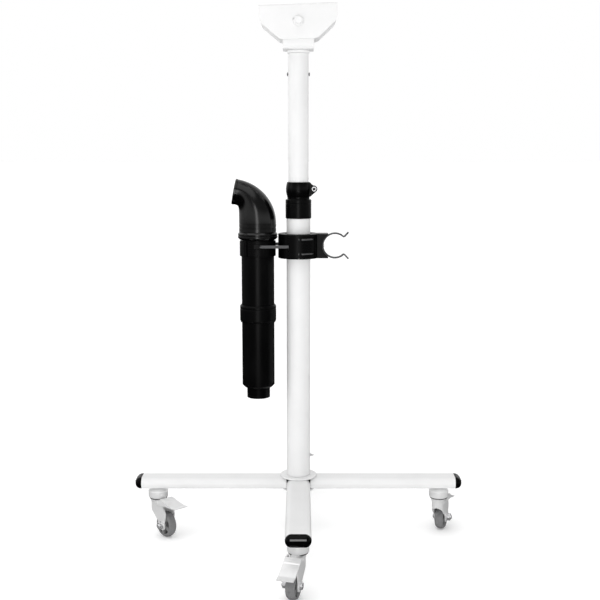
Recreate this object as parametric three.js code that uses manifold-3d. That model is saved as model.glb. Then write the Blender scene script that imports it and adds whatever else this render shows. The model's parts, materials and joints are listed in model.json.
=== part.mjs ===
// A wheeled floor stand for a pet dryer: a cross of flat-oval legs on braked swivel casters, a telescopic
// mast with a lock collar and a tilting saddle, and a mast clamp that carries a hose clip on one side and a
// snap ring with an elbowed air nozzle on the other.
// Millimetres and degrees. +Z is up, +X is the hose-clip side, -Y is the front. The origin is on the floor
// under the mast.
import * as THREE from "three";
import { mergeVertices } from "three/addons/utils/BufferGeometryUtils.js";
import Module from "manifold-3d";

const wasm = await Module();
wasm.setup();

// ---------------------------------------------------------------- driving dimensions
const seat = 0.3; // clearance left between two faces that rest on each other
const running = 0.4; // clearance of a piece that turns or slides in another
const through = 1; // how far a cutter passes beyond what it cuts
// sides that a circle is drawn with
const facets = { clamp: 32, tube: 28, turned: 24, rod: 18, screw: 12, pocket: 6 };

const leg = { width: 45, height: 22.5, wall: 1.5, underside: 94.5, reach: 306 };
const legCap = { dome: 12, crown: 10, plug: 14, rim: 1.5 };
const hub = {
  topOverlap: 13,
  lowerOverlap: 8,
  plate: 3,
  bolt: 6,
  boltHead: 19,
  boltLength: 38,
  spigot: 25,
};
const lowerMast = { radius: 22.5, wall: 1.5, top: 653.7 };
const upperMast = { wall: 1.5, bottom: 369, top: 925.4 };
const mastBush = { length: 82, wall: 1.4 };
const slideFoot = { height: 8, spigot: 16, wall: 3 };
// the collar's heights are measured from the lower mast's top
const collar = {
  drop: 32.1,
  skirtRise: 3.1,
  grooveRise: 7.8,
  rise: 35.9,
  skirtWall: 1.6,
  wall: 2.3,
  groove: 0.7,
};
const ear = { reach: 7.7, rise: 23.1, noseRadius: 5.4, halfWidth: 9.5, slit: 2.4, screw: 3, screwHead: 5 };
const neck = { overlap: 1.6, ring: 5.4, spigot: 55, screwDepth: 37.5, screw: 2.1, screwHead: 4.4 };
const yoke = { width: 57, depth: 73, steel: 3, bend: 9, shoulder: 20, eyeRadius: 15 };
const saddle = {
  width: 142,
  height: 61.8,
  rim: 29,
  foot: 62,
  corner: 10,
  steel: 2.5,
  bend: 4.5,
  pivotDrop: 29.8,
  tilt: 2.1,
};
const platform = { slotWidth: 7, slotLength: 24, endMargin: 25, sideMargin: 16.5 };
const pivot = { rise: 48.6, bolt: 5, flange: 9.5, flangeHeight: 2, hex: 15, head: 6 };
const stopHole = { radius: 1.8, x: -8.5, z: 3 };
// depths under a leg are measured from its underside
const caster = {
  inset: 30,
  trail: 26,
  wheelRadius: 25,
  wheelWidth: 17,
  axle: 4,
  axleHead: 7.5,
  eyeRadius: 9.5,
  cheekGap: 1,
  cheek: 2.2,
  back: 13,
  front: 21,
};
const stem = {
  radius: 5,
  bushWall: 4,
  topGap: 2.5,
  raceRadius: 19.3,
  raceDepth: 9,
  crownRadius: 17.5,
  crownHeight: 15.1,
};
const kingpin = { radius: 6, headRadius: 8.5, head: 2 };
const pocket = { count: 5, ring: 13.5, radius: 3.8, depth: 5 };
const pedal = {
  reach: 76,
  pinX: 16,
  pinDrop: 26.4,
  pin: 3,
  steel: 2,
  drop: 43.5,
  shoeX: 41,
  shoeWidth: 10,
  shoeGap: 3.5,
};
const clamp = {
  wall: 4.2,
  height: 46,
  middle: 570,
  liner: 2.1,
  seam: 1,
  web: 17.8,
  webDepth: 30,
  edge: 0.8,
};
const panel = { left: 4.6, right: 30.8, depth: 0.9, border: 3, inset: 1.4, slotMargin: 0.8 };
const tie = { inset: 3, depth: 1.5, height: 3, offset: 13.6, gapAt: 205, gapHalf: 6 };
const hoseClip = { gap: 6.9, radius: 24.2, steel: 1.8, width: 8, mouth: 49, lip: 12.2, lipAngle: 37 };
const rivet = { radius: 1.9, headRadius: 3.6, depth: 10.6 };
const nozzle = { radius: 31, wall: 2 };
const snapRing = { bottom: 550.7, height: 28.7, wall: 2.8, gap: 4.6, edge: 1.2, slitAngle: 237, slit: 1.6 };
const link = { inset: 1.2, steel: 1.5, height: 5.7, intoRing: 13, intoClamp: 12 };
const elbow = {
  overlap: 4,
  wall: 2.4,
  straight: 17,
  mouthRadius: 23.8,
  mouthReach: 9.5,
  mouthZ: 672,
  rise: 10.8,
};
const elbowNut = { overlap: 6.4, height: 14, chamfer: 3.5, gap: 2 };
const coupling = { overlap: 3.5, bottom: 424, height: 33 };
const lowerTube = { end: 301, chamfer: 4.5, shoulder: 5, neckRadius: 22, neckEnd: 276 };

// ---------------------------------------------------------------- worked out from them
const legTop = leg.underside + leg.height;
const legMiddle = leg.underside + leg.height / 2;
const legInnerEnd = leg.width / 2 + 0.5;
const hubTop = legTop + hub.plate;
const hubBottom = leg.underside - hub.plate;
const hubTopRadius = leg.width / 2 + hub.topOverlap;
const hubLowerRadius = leg.width / 2 + hub.lowerOverlap;
const lowerBore = lowerMast.radius - lowerMast.wall;
const upperRadius = lowerBore - 2 * seat - mastBush.wall;
const upperBore = upperRadius - upperMast.wall;
const spigotRadius = lowerBore - running;
const headSpigotRadius = upperBore - running;
const collarBottom = lowerMast.top - collar.drop;
const skirtTop = lowerMast.top + collar.skirtRise;
const grooveTop = lowerMast.top + collar.grooveRise;
const collarTop = lowerMast.top + collar.rise;
const barrelRadius = upperRadius + seat + collar.wall;
const grooveRadius = barrelRadius - collar.groove;
const pinchX = barrelRadius + ear.reach;
const pinchZ = lowerMast.top + ear.rise;
const neckRadius = upperRadius + neck.overlap;
const neckTop = upperMast.top + seat + neck.ring;
const sideScrewZ = upperMast.top - neck.screwDepth;
const yokeBottom = neckTop + seat;
const yokeHalfDepth = yoke.depth / 2;
const pivotHeight = yokeBottom + pivot.rise;
const saddleInner = yokeHalfDepth + 2 * seat;
const saddleHalfDepth = saddleInner + saddle.steel;
const slotX = saddle.width / 2 - platform.endMargin;
const slotY = yokeHalfDepth - platform.sideMargin;
const ringBore = nozzle.radius + running;
const ringRadius = ringBore + snapRing.wall;
const ringTop = snapRing.bottom + snapRing.height;
const clampRadius = ringRadius + clamp.wall;
const boreOfClamp = lowerMast.radius + running + clamp.liner + seat;
const clampBottom = clamp.middle - clamp.height / 2;
const clampTop = clamp.middle + clamp.height / 2;
const webReach = clampRadius + clamp.web;
const tieRadius = clampRadius - tie.inset;
const clipX = clampRadius + hoseClip.gap + hoseClip.radius;
const nozzleX = -(clampRadius + snapRing.gap + ringRadius);
const linkY = ringRadius - link.inset;
const elbowRadius = nozzle.radius + elbow.overlap;
const mouthX = -(elbowRadius + elbow.mouthReach);
const nutRadius = nozzle.radius + elbowNut.overlap;
const nutBottom = ringTop + seat + elbowNut.gap;
const nutTop = nutBottom + elbowNut.height;
const couplingRadius = nozzle.radius + coupling.overlap;
const tubeBore = nozzle.radius - nozzle.wall;
const couplingTop = coupling.bottom + coupling.height;
const couplingMiddle = coupling.bottom + coupling.height / 2;
const casterStand = leg.reach - caster.inset;
const stemTop = leg.height - leg.wall - stem.topGap - 1.5;
const crownTop = -stem.raceDepth - seat;
const crownBottom = crownTop - stem.crownHeight;
const forkInner = caster.wheelWidth / 2 + caster.cheekGap;
const forkOuter = forkInner + caster.cheek;
const axleDrop = caster.wheelRadius - leg.underside;

// ---------------------------------------------------------------- materials
const finish = (color, roughness, metalness) =>
  new THREE.MeshStandardMaterial({ color, roughness, metalness });
const whitePowderCoat = () => finish(0xf1f1ef, 0.45, 0.0);
const blackPlastic = () => finish(0x17171a, 0.4, 0.0);
const glossBlack = () => finish(0x0e0e10, 0.18, 0.0);
const satinBlack = () => finish(0x1d1d20, 0.5, 0.0);
const zincSteel = () => finish(0xb9bcc0, 0.3, 0.9);
const springSteel = () => finish(0x8d9094, 0.3, 0.9);
const nylon = () => finish(0xdad8d0, 0.5, 0.0);
const greyTread = () => finish(0x8f9296, 0.6, 0.0);
const rubber = () => finish(0x202022, 0.8, 0.0);

// ---------------------------------------------------------------- solids
/** A closed geometry as a solid, whichever way its faces were wound. */
function solid(geometry) {
  const bare = geometry.clone();
  bare.deleteAttribute("normal");
  bare.deleteAttribute("uv");
  const merged = mergeVertices(bare, 1e-4);
  const corners = merged.index.array;
  const kept = [];
  for (let i = 0; i < corners.length; i += 3) {
    const [a, b, c] = [corners[i], corners[i + 1], corners[i + 2]];
    if (a !== b && b !== c && a !== c) kept.push(a, b, c);
  }
  const build = (order) =>
    new wasm.Manifold(
      new wasm.Mesh({
        numProp: 3,
        vertProperties: merged.attributes.position.array,
        triVerts: new Uint32Array(order),
      }),
    );
  const made = build(kept);
  return made.volume() < 0 ? build(kept.reverse()) : made;
}

/** The three.js geometry of a solid, with flat face normals. */
function geometryOf(shape) {
  const mesh = shape.getMesh();
  const points = new Float32Array(mesh.numVert * 3);
  for (let i = 0; i < mesh.numVert; i++) {
    points.set(mesh.vertProperties.subarray(i * mesh.numProp, i * mesh.numProp + 3), i * 3);
  }
  const shared = new THREE.BufferGeometry();
  shared.setAttribute("position", new THREE.BufferAttribute(points, 3));
  shared.setIndex(new THREE.BufferAttribute(mesh.triVerts, 1));
  const flat = shared.toNonIndexed();
  flat.computeVertexNormals();
  return flat;
}

const join = (...shapes) => shapes.reduce((all, one) => all.add(one));
const cut = (body, ...cutters) => cutters.reduce((left, one) => left.subtract(one), body);

const turnTo = {
  x: new THREE.Matrix4().makeRotationY(Math.PI / 2),
  y: new THREE.Matrix4().makeRotationX(-Math.PI / 2),
  z: new THREE.Matrix4(),
};

/** Moves a geometry whose axis is Z onto another axis, then to a place. */
function placed(geometry, axis = "z", [x, y, z] = [0, 0, 0]) {
  return solid(geometry.applyMatrix4(turnTo[axis]).translate(x, y, z));
}

/** A box between two corners. */
function block([x0, y0, z0], [x1, y1, z1]) {
  const geometry = new THREE.BoxGeometry(x1 - x0, y1 - y0, z1 - z0);
  return solid(geometry.translate((x0 + x1) / 2, (y0 + y1) / 2, (z0 + z1) / 2));
}

/** A round bar from one height to another along an axis. */
function rod(radius, from, to, { axis = "z", at = [0, 0, 0], sides = facets.rod } = {}) {
  const geometry = new THREE.CylinderGeometry(radius, radius, to - from, sides);
  geometry.rotateX(Math.PI / 2).translate(0, 0, (from + to) / 2);
  return placed(geometry, axis, at);
}

/** A cutter for a round hole whose flats lie at the given radius. */
function hole(radius, from, to, options = {}) {
  const sides = options.sides ?? facets.rod;
  return rod(radius / Math.cos(Math.PI / sides), from, to, { ...options, sides });
}

/** A body of revolution from [radius, height] points. */
function turned(profile, { axis = "z", at = [0, 0, 0], sides = facets.turned } = {}) {
  const points = profile.map(([r, h]) => new THREE.Vector2(r, h));
  const geometry = new THREE.LatheGeometry(points, sides).rotateX(Math.PI / 2);
  return placed(geometry, axis, at);
}

/** A round tube; its bore's flats lie at the inner radius. */
function pipe(outer, inner, from, to, options = {}) {
  const sides = options.sides ?? facets.tube;
  const bored = hole(inner, from - through, to + through, { ...options, sides });
  return cut(rod(outer, from, to, { ...options, sides }), bored);
}

/** A shape in a plane, given a thickness along Z. */
function plate(shape, from, to, curveSegments = 8) {
  const options = { depth: to - from, bevelEnabled: false, curveSegments };
  const geometry = new THREE.ExtrudeGeometry(shape, options);
  return geometry.translate(0, 0, from);
}

// A side profile drawn as (x, z) and given a thickness along Y, and a cross profile drawn as (y, z) and
// given a thickness along X.
const sideways = new THREE.Matrix4().makeBasis(
  new THREE.Vector3(1, 0, 0),
  new THREE.Vector3(0, 0, 1),
  new THREE.Vector3(0, -1, 0),
);
const lengthways = new THREE.Matrix4().makeBasis(
  new THREE.Vector3(0, 1, 0),
  new THREE.Vector3(0, 0, 1),
  new THREE.Vector3(1, 0, 0),
);
const sidePlate = (shape, y0, y1, segments) =>
  solid(plate(shape, -y1, -y0, segments).applyMatrix4(sideways));
const crossPlate = (shape, x0, x1, segments) =>
  solid(plate(shape, x0, x1, segments).applyMatrix4(lengthways));

/** A closed polygon whose corners are rounded by arcs: points are [x, y, radius]. */
function rounded(points) {
  const shape = new THREE.Shape();
  points.forEach(([x, y, radius], i) => {
    const here = new THREE.Vector2(x, y);
    const before = new THREE.Vector2(...points.at(i - 1).slice(0, 2)).sub(here).normalize();
    const after = new THREE.Vector2(...points[(i + 1) % points.length].slice(0, 2)).sub(here).normalize();
    const half = Math.acos(before.dot(after)) / 2;
    const back = radius / Math.tan(half);
    const start = before.multiplyScalar(back).add(here);
    const end = after.multiplyScalar(back).add(here);
    if (i === 0) shape.moveTo(start.x, start.y);
    else shape.lineTo(start.x, start.y);
    if (radius > 0) shape.quadraticCurveTo(x, y, end.x, end.y);
  });
  shape.closePath();
  return shape;
}

/** A flat oval: a rectangle with half-round ends, centred on the given point. */
function flatOval(width, height, x = 0, y = 0) {
  const r = height / 2;
  const straight = width / 2 - r;
  const shape = new THREE.Shape();
  shape.moveTo(x - straight, y - r);
  shape.lineTo(x + straight, y - r);
  shape.absarc(x + straight, y, r, -Math.PI / 2, Math.PI / 2, false);
  shape.lineTo(x - straight, y + r);
  shape.absarc(x - straight, y, r, Math.PI / 2, (3 * Math.PI) / 2, false);
  return shape;
}

/** A closed skin over rings that have the same number of points, in order from end to end. */
function loft(rings) {
  const count = rings[0].length;
  const points = rings.flat().flatMap((p) => [p.x, p.y, p.z]);
  const faces = [];
  for (let r = 0; r + 1 < rings.length; r++) {
    for (let i = 0; i < count; i++) {
      const a = r * count + i;
      const b = r * count + ((i + 1) % count);
      faces.push(a, b, b + count, a, b + count, a + count);
    }
  }
  const last = (rings.length - 1) * count;
  for (let i = 1; i + 1 < count; i++) {
    faces.push(0, i + 1, i);
    faces.push(last, last + i, last + i + 1);
  }
  const geometry = new THREE.BufferGeometry();
  geometry.setAttribute("position", new THREE.Float32BufferAttribute(points, 3));
  geometry.setIndex(faces);
  return solid(geometry);
}

const root = new THREE.Group();

/** Adds one named piece to a group. */
function piece(group, name, shape, material) {
  const mesh = new THREE.Mesh(geometryOf(shape), material);
  mesh.name = name;
  group.add(mesh);
}

const degrees = THREE.MathUtils.degToRad;

// ---------------------------------------------------------------- hub and legs
function addHub() {
  const plugHole = spigotRadius + seat / 2;
  const topPlate = pipe(hubTopRadius, plugHole, legTop + seat, hubTop + seat);
  piece(root, "hub_top_plate", topPlate, whitePowderCoat());

  const lowerPlate = pipe(hubLowerRadius, hub.bolt + seat, hubBottom - seat, leg.underside - seat);
  piece(root, "hub_lower_plate", lowerPlate, satinBlack());

  const bossRadius = leg.width / 2 - 1;
  const plugTop = hubTop + hub.spigot;
  const plugBottom = leg.underside;
  const plug = turned([
    [0, plugBottom],
    [bossRadius, plugBottom],
    [bossRadius, legTop],
    [spigotRadius - seat, legTop],
    [spigotRadius - seat, plugTop - 2],
    [spigotRadius - seat - 2, plugTop],
    [0, plugTop],
  ]);
  const boltTop = hubBottom - seat + hub.boltLength;
  const tapped = hole(hub.bolt + seat, plugBottom - through, boltTop + 2);
  piece(root, "mast_foot_plug", cut(plug, tapped), zincSteel());

  const headTop = hubBottom - 2 * seat;
  const head = rod(hub.boltHead / Math.sqrt(3), headTop - 7.5, headTop, { sides: 6 });
  piece(root, "hub_bolt", join(head, rod(hub.bolt, headTop - 1, boltTop)), zincSteel());
}

/** One leg along +X from the hub, with the bush that takes its caster's stem. */
function legTube() {
  const outline = flatOval(leg.width, leg.height, 0, legMiddle);
  outline.holes.push(flatOval(leg.width - 2 * leg.wall, leg.height - 2 * leg.wall, 0, legMiddle));
  const tube = crossPlate(outline, legInnerEnd, leg.reach, 3);
  const at = [casterStand, 0, 0];
  const options = { at, sides: facets.screw };
  const bushBottom = leg.underside + leg.wall / 2;
  const bushTop = legTop - leg.wall / 2;
  const bush = rod(stem.radius + stem.bushWall, bushBottom, bushTop, options);
  const boreTop = leg.underside + stemTop + stem.topGap;
  const bore = hole(stem.radius + seat, leg.underside - through, boreTop, options);
  return cut(join(tube, bush), bore);
}

/** The domed plug that closes a leg's outer end. */
function legEndCap() {
  const ring = (x, inset) =>
    flatOval(leg.width - 2 * inset, leg.height - 2 * inset, 0, legMiddle)
      .getPoints(3)
      .slice(0, -1)
      .map((p) => new THREE.Vector3(x, p.x, p.y));
  const start = leg.reach + seat;
  const steps = 3;
  const rings = [ring(start, 0), ring(start + legCap.rim, 0)];
  for (let i = 1; i <= steps; i++) {
    const angle = (i / steps) * (Math.PI / 2);
    const bulge = legCap.dome - legCap.rim;
    rings.push(ring(start + legCap.rim + bulge * Math.sin(angle), legCap.crown * (1 - Math.cos(angle))));
  }
  const fit = leg.wall + running;
  const plugEnd = start - legCap.plug;
  const plug = loft([ring(plugEnd, fit + 1), ring(plugEnd + 3, fit), ring(start + 1, fit)]);
  return join(loft(rings), plug);
}

// ---------------------------------------------------------------- casters
/** The threaded stem, with the upper race and the kingpin that the fork turns on. */
function casterStem() {
  const headTop = crownBottom - 2 * seat;
  return turned(
    [
      [0, stemTop],
      [stem.radius, stemTop],
      [stem.radius, -seat],
      [stem.raceRadius / 2, -seat],
      [stem.raceRadius - 2, -3.4],
      [stem.raceRadius, -5.5],
      [stem.raceRadius, -stem.raceDepth],
      [kingpin.radius, -stem.raceDepth],
      [kingpin.radius, headTop],
      [kingpin.headRadius, headTop],
      [kingpin.headRadius, headTop - kingpin.head],
      [0, headTop - kingpin.head],
    ],
    { sides: facets.rod },
  );
}

/** The pressed fork, in a frame with its swivel axis at the origin and its wheel trailing towards +X. */
function casterFork() {
  const { back, front, cheek, eyeRadius, trail } = caster;
  const cup = turned(
    [
      [0, crownTop],
      [stem.crownRadius, crownTop],
      [stem.crownRadius, crownTop - 6],
      [stem.crownRadius - 3, crownBottom],
      [0, crownBottom],
    ],
    { sides: facets.rod },
  );
  const bridgeTop = crownBottom + cheek;
  const bridge = block([-back, -forkOuter, crownBottom], [front, forkOuter, bridgeTop]);
  const cheekOutline = rounded([
    [-back, bridgeTop, 0],
    [-back, crownBottom - 6, 4],
    [trail - eyeRadius, axleDrop - eyeRadius, 8],
    [trail + eyeRadius, axleDrop - eyeRadius, 8],
    [front + 1, crownBottom - 8, 0],
    [front, bridgeTop, 0],
  ]);
  const nearCheek = sidePlate(cheekOutline, -forkOuter, -forkInner, 2);
  const farCheek = sidePlate(cheekOutline, forkInner, forkOuter, 2);
  const pinEnd = forkOuter + 2 * seat + pedal.steel + 1;
  const pins = rod(pedal.pin, -pinEnd, pinEnd, {
    axis: "y",
    at: [pedal.pinX, 0, -pedal.pinDrop],
    sides: facets.screw,
  });
  const axleHole = hole(caster.axle + seat, -pinEnd, pinEnd, {
    axis: "y",
    at: [trail, 0, axleDrop],
    sides: facets.screw,
  });
  const kingpinHole = hole(kingpin.radius + seat, crownBottom - through, crownTop + through);
  const insideWell = block([-2 * back, -forkInner, 2 * axleDrop], [3 * trail, forkInner, crownBottom]);
  return cut(join(cup, bridge, nearCheek, farCheek, pins), axleHole, kingpinHole, insideWell);
}

/** One moulded wheel with pockets in both sides, its axle along Y at the origin. */
function casterWheel() {
  const half = caster.wheelWidth / 2;
  const r = caster.wheelRadius;
  const bore = caster.axle + 2 * seat;
  const shoulder = half - 4.5;
  const wheel = turned(
    [
      [bore, -half],
      [r - 3, -half],
      [r, -shoulder],
      [r, shoulder],
      [r - 3, half],
      [bore, half],
      [bore, -half],
    ],
    { axis: "y" },
  );
  const pockets = [];
  for (let i = 0; i < pocket.count; i++) {
    const angle = ((i + 0.5) / pocket.count) * 2 * Math.PI;
    const at = [pocket.ring * Math.cos(angle), 0, pocket.ring * Math.sin(angle)];
    const options = { axis: "y", at, sides: facets.pocket };
    pockets.push(rod(pocket.radius, -half, -half + pocket.depth, options));
    pockets.push(rod(pocket.radius, half - pocket.depth, half, options));
  }
  return cut(wheel, ...pockets);
}

/** The axle bolt with its nut, along Y at the origin. */
function casterAxle() {
  const end = forkOuter + seat;
  const head = rod(caster.axleHead, -end - 5, -end, { axis: "y", sides: 6 });
  const nut = rod(caster.axleHead, end, end + 6, { axis: "y", sides: 6 });
  return join(head, nut, rod(caster.axle, -end - 1, end + 8, { axis: "y", sides: facets.screw }));
}

/** The brake pedal, its pin along Y at the origin: a sloping plate, two ears and the shoe over the tread. */
function brakePedal() {
  const { steel } = pedal;
  const tip = pedal.reach - pedal.pinX;
  const tipTop = pedal.pinDrop - pedal.drop + steel;
  const earInner = forkOuter + running;
  const earOuter = earInner + steel;
  const outline = rounded([
    [6.5, 4.9, 0],
    [10, 6, 0],
    [tip - 10, tipTop + 1.5, 0],
    [tip, tipTop, 0],
    [tip, tipTop - steel, 0],
    [tip - 11, tipTop - steel + 1.3, 0],
    [11, 3.4, 0],
    [6.5, 2.4, 0],
  ]);
  const tread = sidePlate(outline, -earOuter, earOuter, 2);
  const earOutline = rounded([
    [-5.5, 5.5, 4],
    [-5.5, -5.5, 4],
    [8, -6.5, 0],
    [28, -9.6, 0],
    [28, -3.6, 0],
    [10, 3.9, 0],
    [5, 6, 0],
  ]);
  const ears = [
    sidePlate(earOutline, -earOuter, -earInner, 2),
    sidePlate(earOutline, earInner, earOuter, 2),
  ];
  const shoeMiddle = pedal.shoeX - pedal.pinX;
  const shoeBottom = pedal.pinDrop + axleDrop + caster.wheelRadius + pedal.shoeGap;
  const shoe = block(
    [shoeMiddle - steel, -pedal.shoeWidth / 2, shoeBottom],
    [shoeMiddle + steel, pedal.shoeWidth / 2, -2.6],
  );
  const options = { axis: "y", sides: facets.screw };
  const pinHole = hole(pedal.pin + seat, -2 * earOuter, 2 * earOuter, options);
  return cut(join(tread, ...ears, shoe), pinHole);
}

function addLegsAndCasters() {
  // name, direction of the leg from +X, direction in which its caster trails and how far its pedal is up,
  // as parked
  const corners = [
    ["right", 0, 68, 0],
    ["rear", 90, 73, 0],
    ["left", 180, -48, 17],
    ["front", 270, -107, 0],
  ];
  for (const [name, legAngle, trailAngle, pedalLift] of corners) {
    const arm = new THREE.Group();
    arm.rotation.z = degrees(legAngle);
    root.add(arm);
    piece(arm, "leg_" + name, legTube(), whitePowderCoat());
    piece(arm, "leg_cap_" + name, legEndCap(), blackPlastic());

    const socket = new THREE.Group();
    socket.position.set(casterStand, 0, leg.underside);
    arm.add(socket);
    piece(socket, "caster_stem_" + name, casterStem(), zincSteel());

    const swivel = new THREE.Group();
    swivel.rotation.z = degrees(trailAngle - legAngle);
    socket.add(swivel);
    piece(swivel, "caster_fork_" + name, casterFork(), zincSteel());

    const pin = new THREE.Group();
    pin.position.set(pedal.pinX, 0, -pedal.pinDrop);
    pin.rotation.y = degrees(-pedalLift);
    swivel.add(pin);
    piece(pin, "brake_pedal_" + name, brakePedal(), zincSteel());

    const rolling = new THREE.Group();
    rolling.position.set(caster.trail, 0, axleDrop);
    swivel.add(rolling);
    piece(rolling, "wheel_" + name, casterWheel(), greyTread());
    piece(rolling, "axle_" + name, casterAxle(), zincSteel());
  }
}

// ---------------------------------------------------------------- mast
function addLowerMast() {
  const tube = pipe(lowerMast.radius, lowerBore, hubTop + 2 * seat, lowerMast.top);
  piece(root, "lower_mast_tube", tube, whitePowderCoat());
  const bushTop = lowerMast.top - seat;
  const bush = pipe(lowerBore - seat, upperRadius + seat, bushTop - mastBush.length, bushTop);
  piece(root, "mast_bush", bush, nylon());
}

function addLockCollar() {
  const skirtBore = lowerMast.radius + seat;
  const skirtRadius = skirtBore + collar.skirtWall;
  const upperCollarBore = upperRadius + seat;
  const shoulder = lowerMast.top + seat;
  const body = turned(
    [
      [0, collarBottom],
      [skirtRadius, collarBottom],
      [skirtRadius, skirtTop],
      [grooveRadius, skirtTop + 1.2],
      [grooveRadius, grooveTop],
      [barrelRadius, grooveTop],
      [barrelRadius, collarTop],
      [0, collarTop],
    ],
    { sides: facets.tube },
  );
  const lug = new THREE.Shape();
  lug.moveTo(grooveRadius - 3, grooveTop + 0.5);
  lug.lineTo(pinchX - 2, pinchZ - ear.noseRadius);
  lug.absarc(pinchX, pinchZ, ear.noseRadius, -Math.PI / 2, Math.PI / 3, false);
  lug.lineTo(grooveRadius - 3, collarTop - 0.5);
  lug.closePath();
  const ears = sidePlate(lug, -ear.halfWidth, ear.halfWidth, 3);
  const slit = block(
    [upperCollarBore - 3, -ear.slit / 2, skirtTop + 2],
    [pinchX + 2 * ear.noseRadius, ear.slit / 2, collarTop + through],
  );
  const screwAt = { axis: "y", at: [pinchX, 0, pinchZ], sides: facets.screw };
  const screwHole = hole(ear.screw + seat, -2 * ear.halfWidth, 2 * ear.halfWidth, screwAt);
  const skirtSpace = hole(skirtBore, collarBottom - through, shoulder, { sides: facets.tube });
  const tubeSpace = hole(upperCollarBore, collarBottom, collarTop + through, { sides: facets.tube });
  piece(root, "lock_collar", cut(join(body, ears), skirtSpace, tubeSpace, slit, screwHole), satinBlack());

  const under = -ear.halfWidth - seat;
  const screw = join(
    rod(ear.screwHead, under - 6, under, { ...screwAt, sides: facets.rod }),
    rod(ear.screw, under - 1, ear.halfWidth, screwAt),
  );
  const socket = rod(ear.screw, under - 7, under - 3, { ...screwAt, sides: 6 });
  piece(root, "pinch_screw", cut(screw, socket), zincSteel());
}

function addUpperMast() {
  const tube = pipe(upperRadius, upperBore, upperMast.bottom, upperMast.top);
  const sideHoles = hole(neck.screw + seat, -2 * upperRadius, 2 * upperRadius, {
    axis: "x",
    at: [0, 0, sideScrewZ],
    sides: facets.screw,
  });
  piece(root, "upper_mast_tube", cut(tube, sideHoles), whitePowderCoat());

  const footTop = upperMast.bottom - seat;
  const foot = turned([
    [0, footTop - slideFoot.height],
    [spigotRadius, footTop - slideFoot.height],
    [spigotRadius, footTop],
    [headSpigotRadius, footTop],
    [headSpigotRadius, footTop + slideFoot.spigot],
    [0, footTop + slideFoot.spigot],
  ]);
  const relief = hole(
    headSpigotRadius - slideFoot.wall,
    footTop - slideFoot.height - through,
    footTop + slideFoot.spigot + through,
  );
  piece(root, "slide_foot", cut(foot, relief), nylon());

  const ringBottom = upperMast.top + seat;
  const plug = turned([
    [0, upperMast.top - neck.spigot],
    [headSpigotRadius, upperMast.top - neck.spigot],
    [headSpigotRadius, ringBottom],
    [neckRadius, ringBottom],
    [neckRadius, neckTop],
    [0, neckTop],
  ]);
  piece(root, "head_plug", cut(plug, sideHoles), whitePowderCoat());

  for (const [name, side] of [
    ["left", -1],
    ["right", 1],
  ]) {
    const face = upperRadius + seat;
    const screw = turned(
      [
        [0, 6],
        [neck.screw, 6],
        [neck.screw, face],
        [neck.screwHead, face],
        [neck.screwHead, face + 1.6],
        [neck.screwHead - 1.4, face + 3.2],
        [0, face + 3.2],
      ],
      { axis: "x", sides: facets.screw },
    );
    const facing = new THREE.Group();
    facing.position.z = sideScrewZ;
    facing.rotation.z = side < 0 ? Math.PI : 0;
    root.add(facing);
    piece(facing, "head_screw_" + name, screw, zincSteel());
  }
}

// ---------------------------------------------------------------- tilting head
/** The cross profile of a U-shaped bracket, drawn as (y, z): legs up or down from a base. */
function channelProfile(halfDepth, steel, bend, base, tips) {
  const inward = Math.sign(tips - base);
  const inner = halfDepth - steel;
  return rounded([
    [-halfDepth, base, bend],
    [halfDepth, base, bend],
    [halfDepth, tips, 0],
    [inner, tips, 0],
    [inner, base + inward * steel, bend - steel],
    [-inner, base + inward * steel, bend - steel],
    [-inner, tips, 0],
    [-halfDepth, tips, 0],
  ]);
}

function addYoke() {
  const half = yoke.width / 2;
  const shoulderZ = yokeBottom + yoke.shoulder;
  const tips = pivotHeight + yoke.eyeRadius + 2;
  const channel = channelProfile(yokeHalfDepth, yoke.steel, yoke.bend, yokeBottom, tips);
  const bracket = crossPlate(channel, -half, half, 3);
  const face = new THREE.Shape();
  face.moveTo(-half, yokeBottom - through);
  face.lineTo(half, yokeBottom - through);
  face.lineTo(half, shoulderZ);
  face.lineTo(yoke.eyeRadius, pivotHeight);
  face.absarc(0, pivotHeight, yoke.eyeRadius, 0, Math.PI, false);
  face.lineTo(-half, shoulderZ);
  face.closePath();
  const trimmed = bracket.intersect(sidePlate(face, -yoke.depth, yoke.depth, 5));
  const place = { axis: "y", at: [0, 0, pivotHeight] };
  const pivotHole = hole(pivot.bolt + seat, -yoke.depth, yoke.depth, place);
  piece(root, "head_yoke", cut(trimmed, pivotHole), whitePowderCoat());
}

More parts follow.
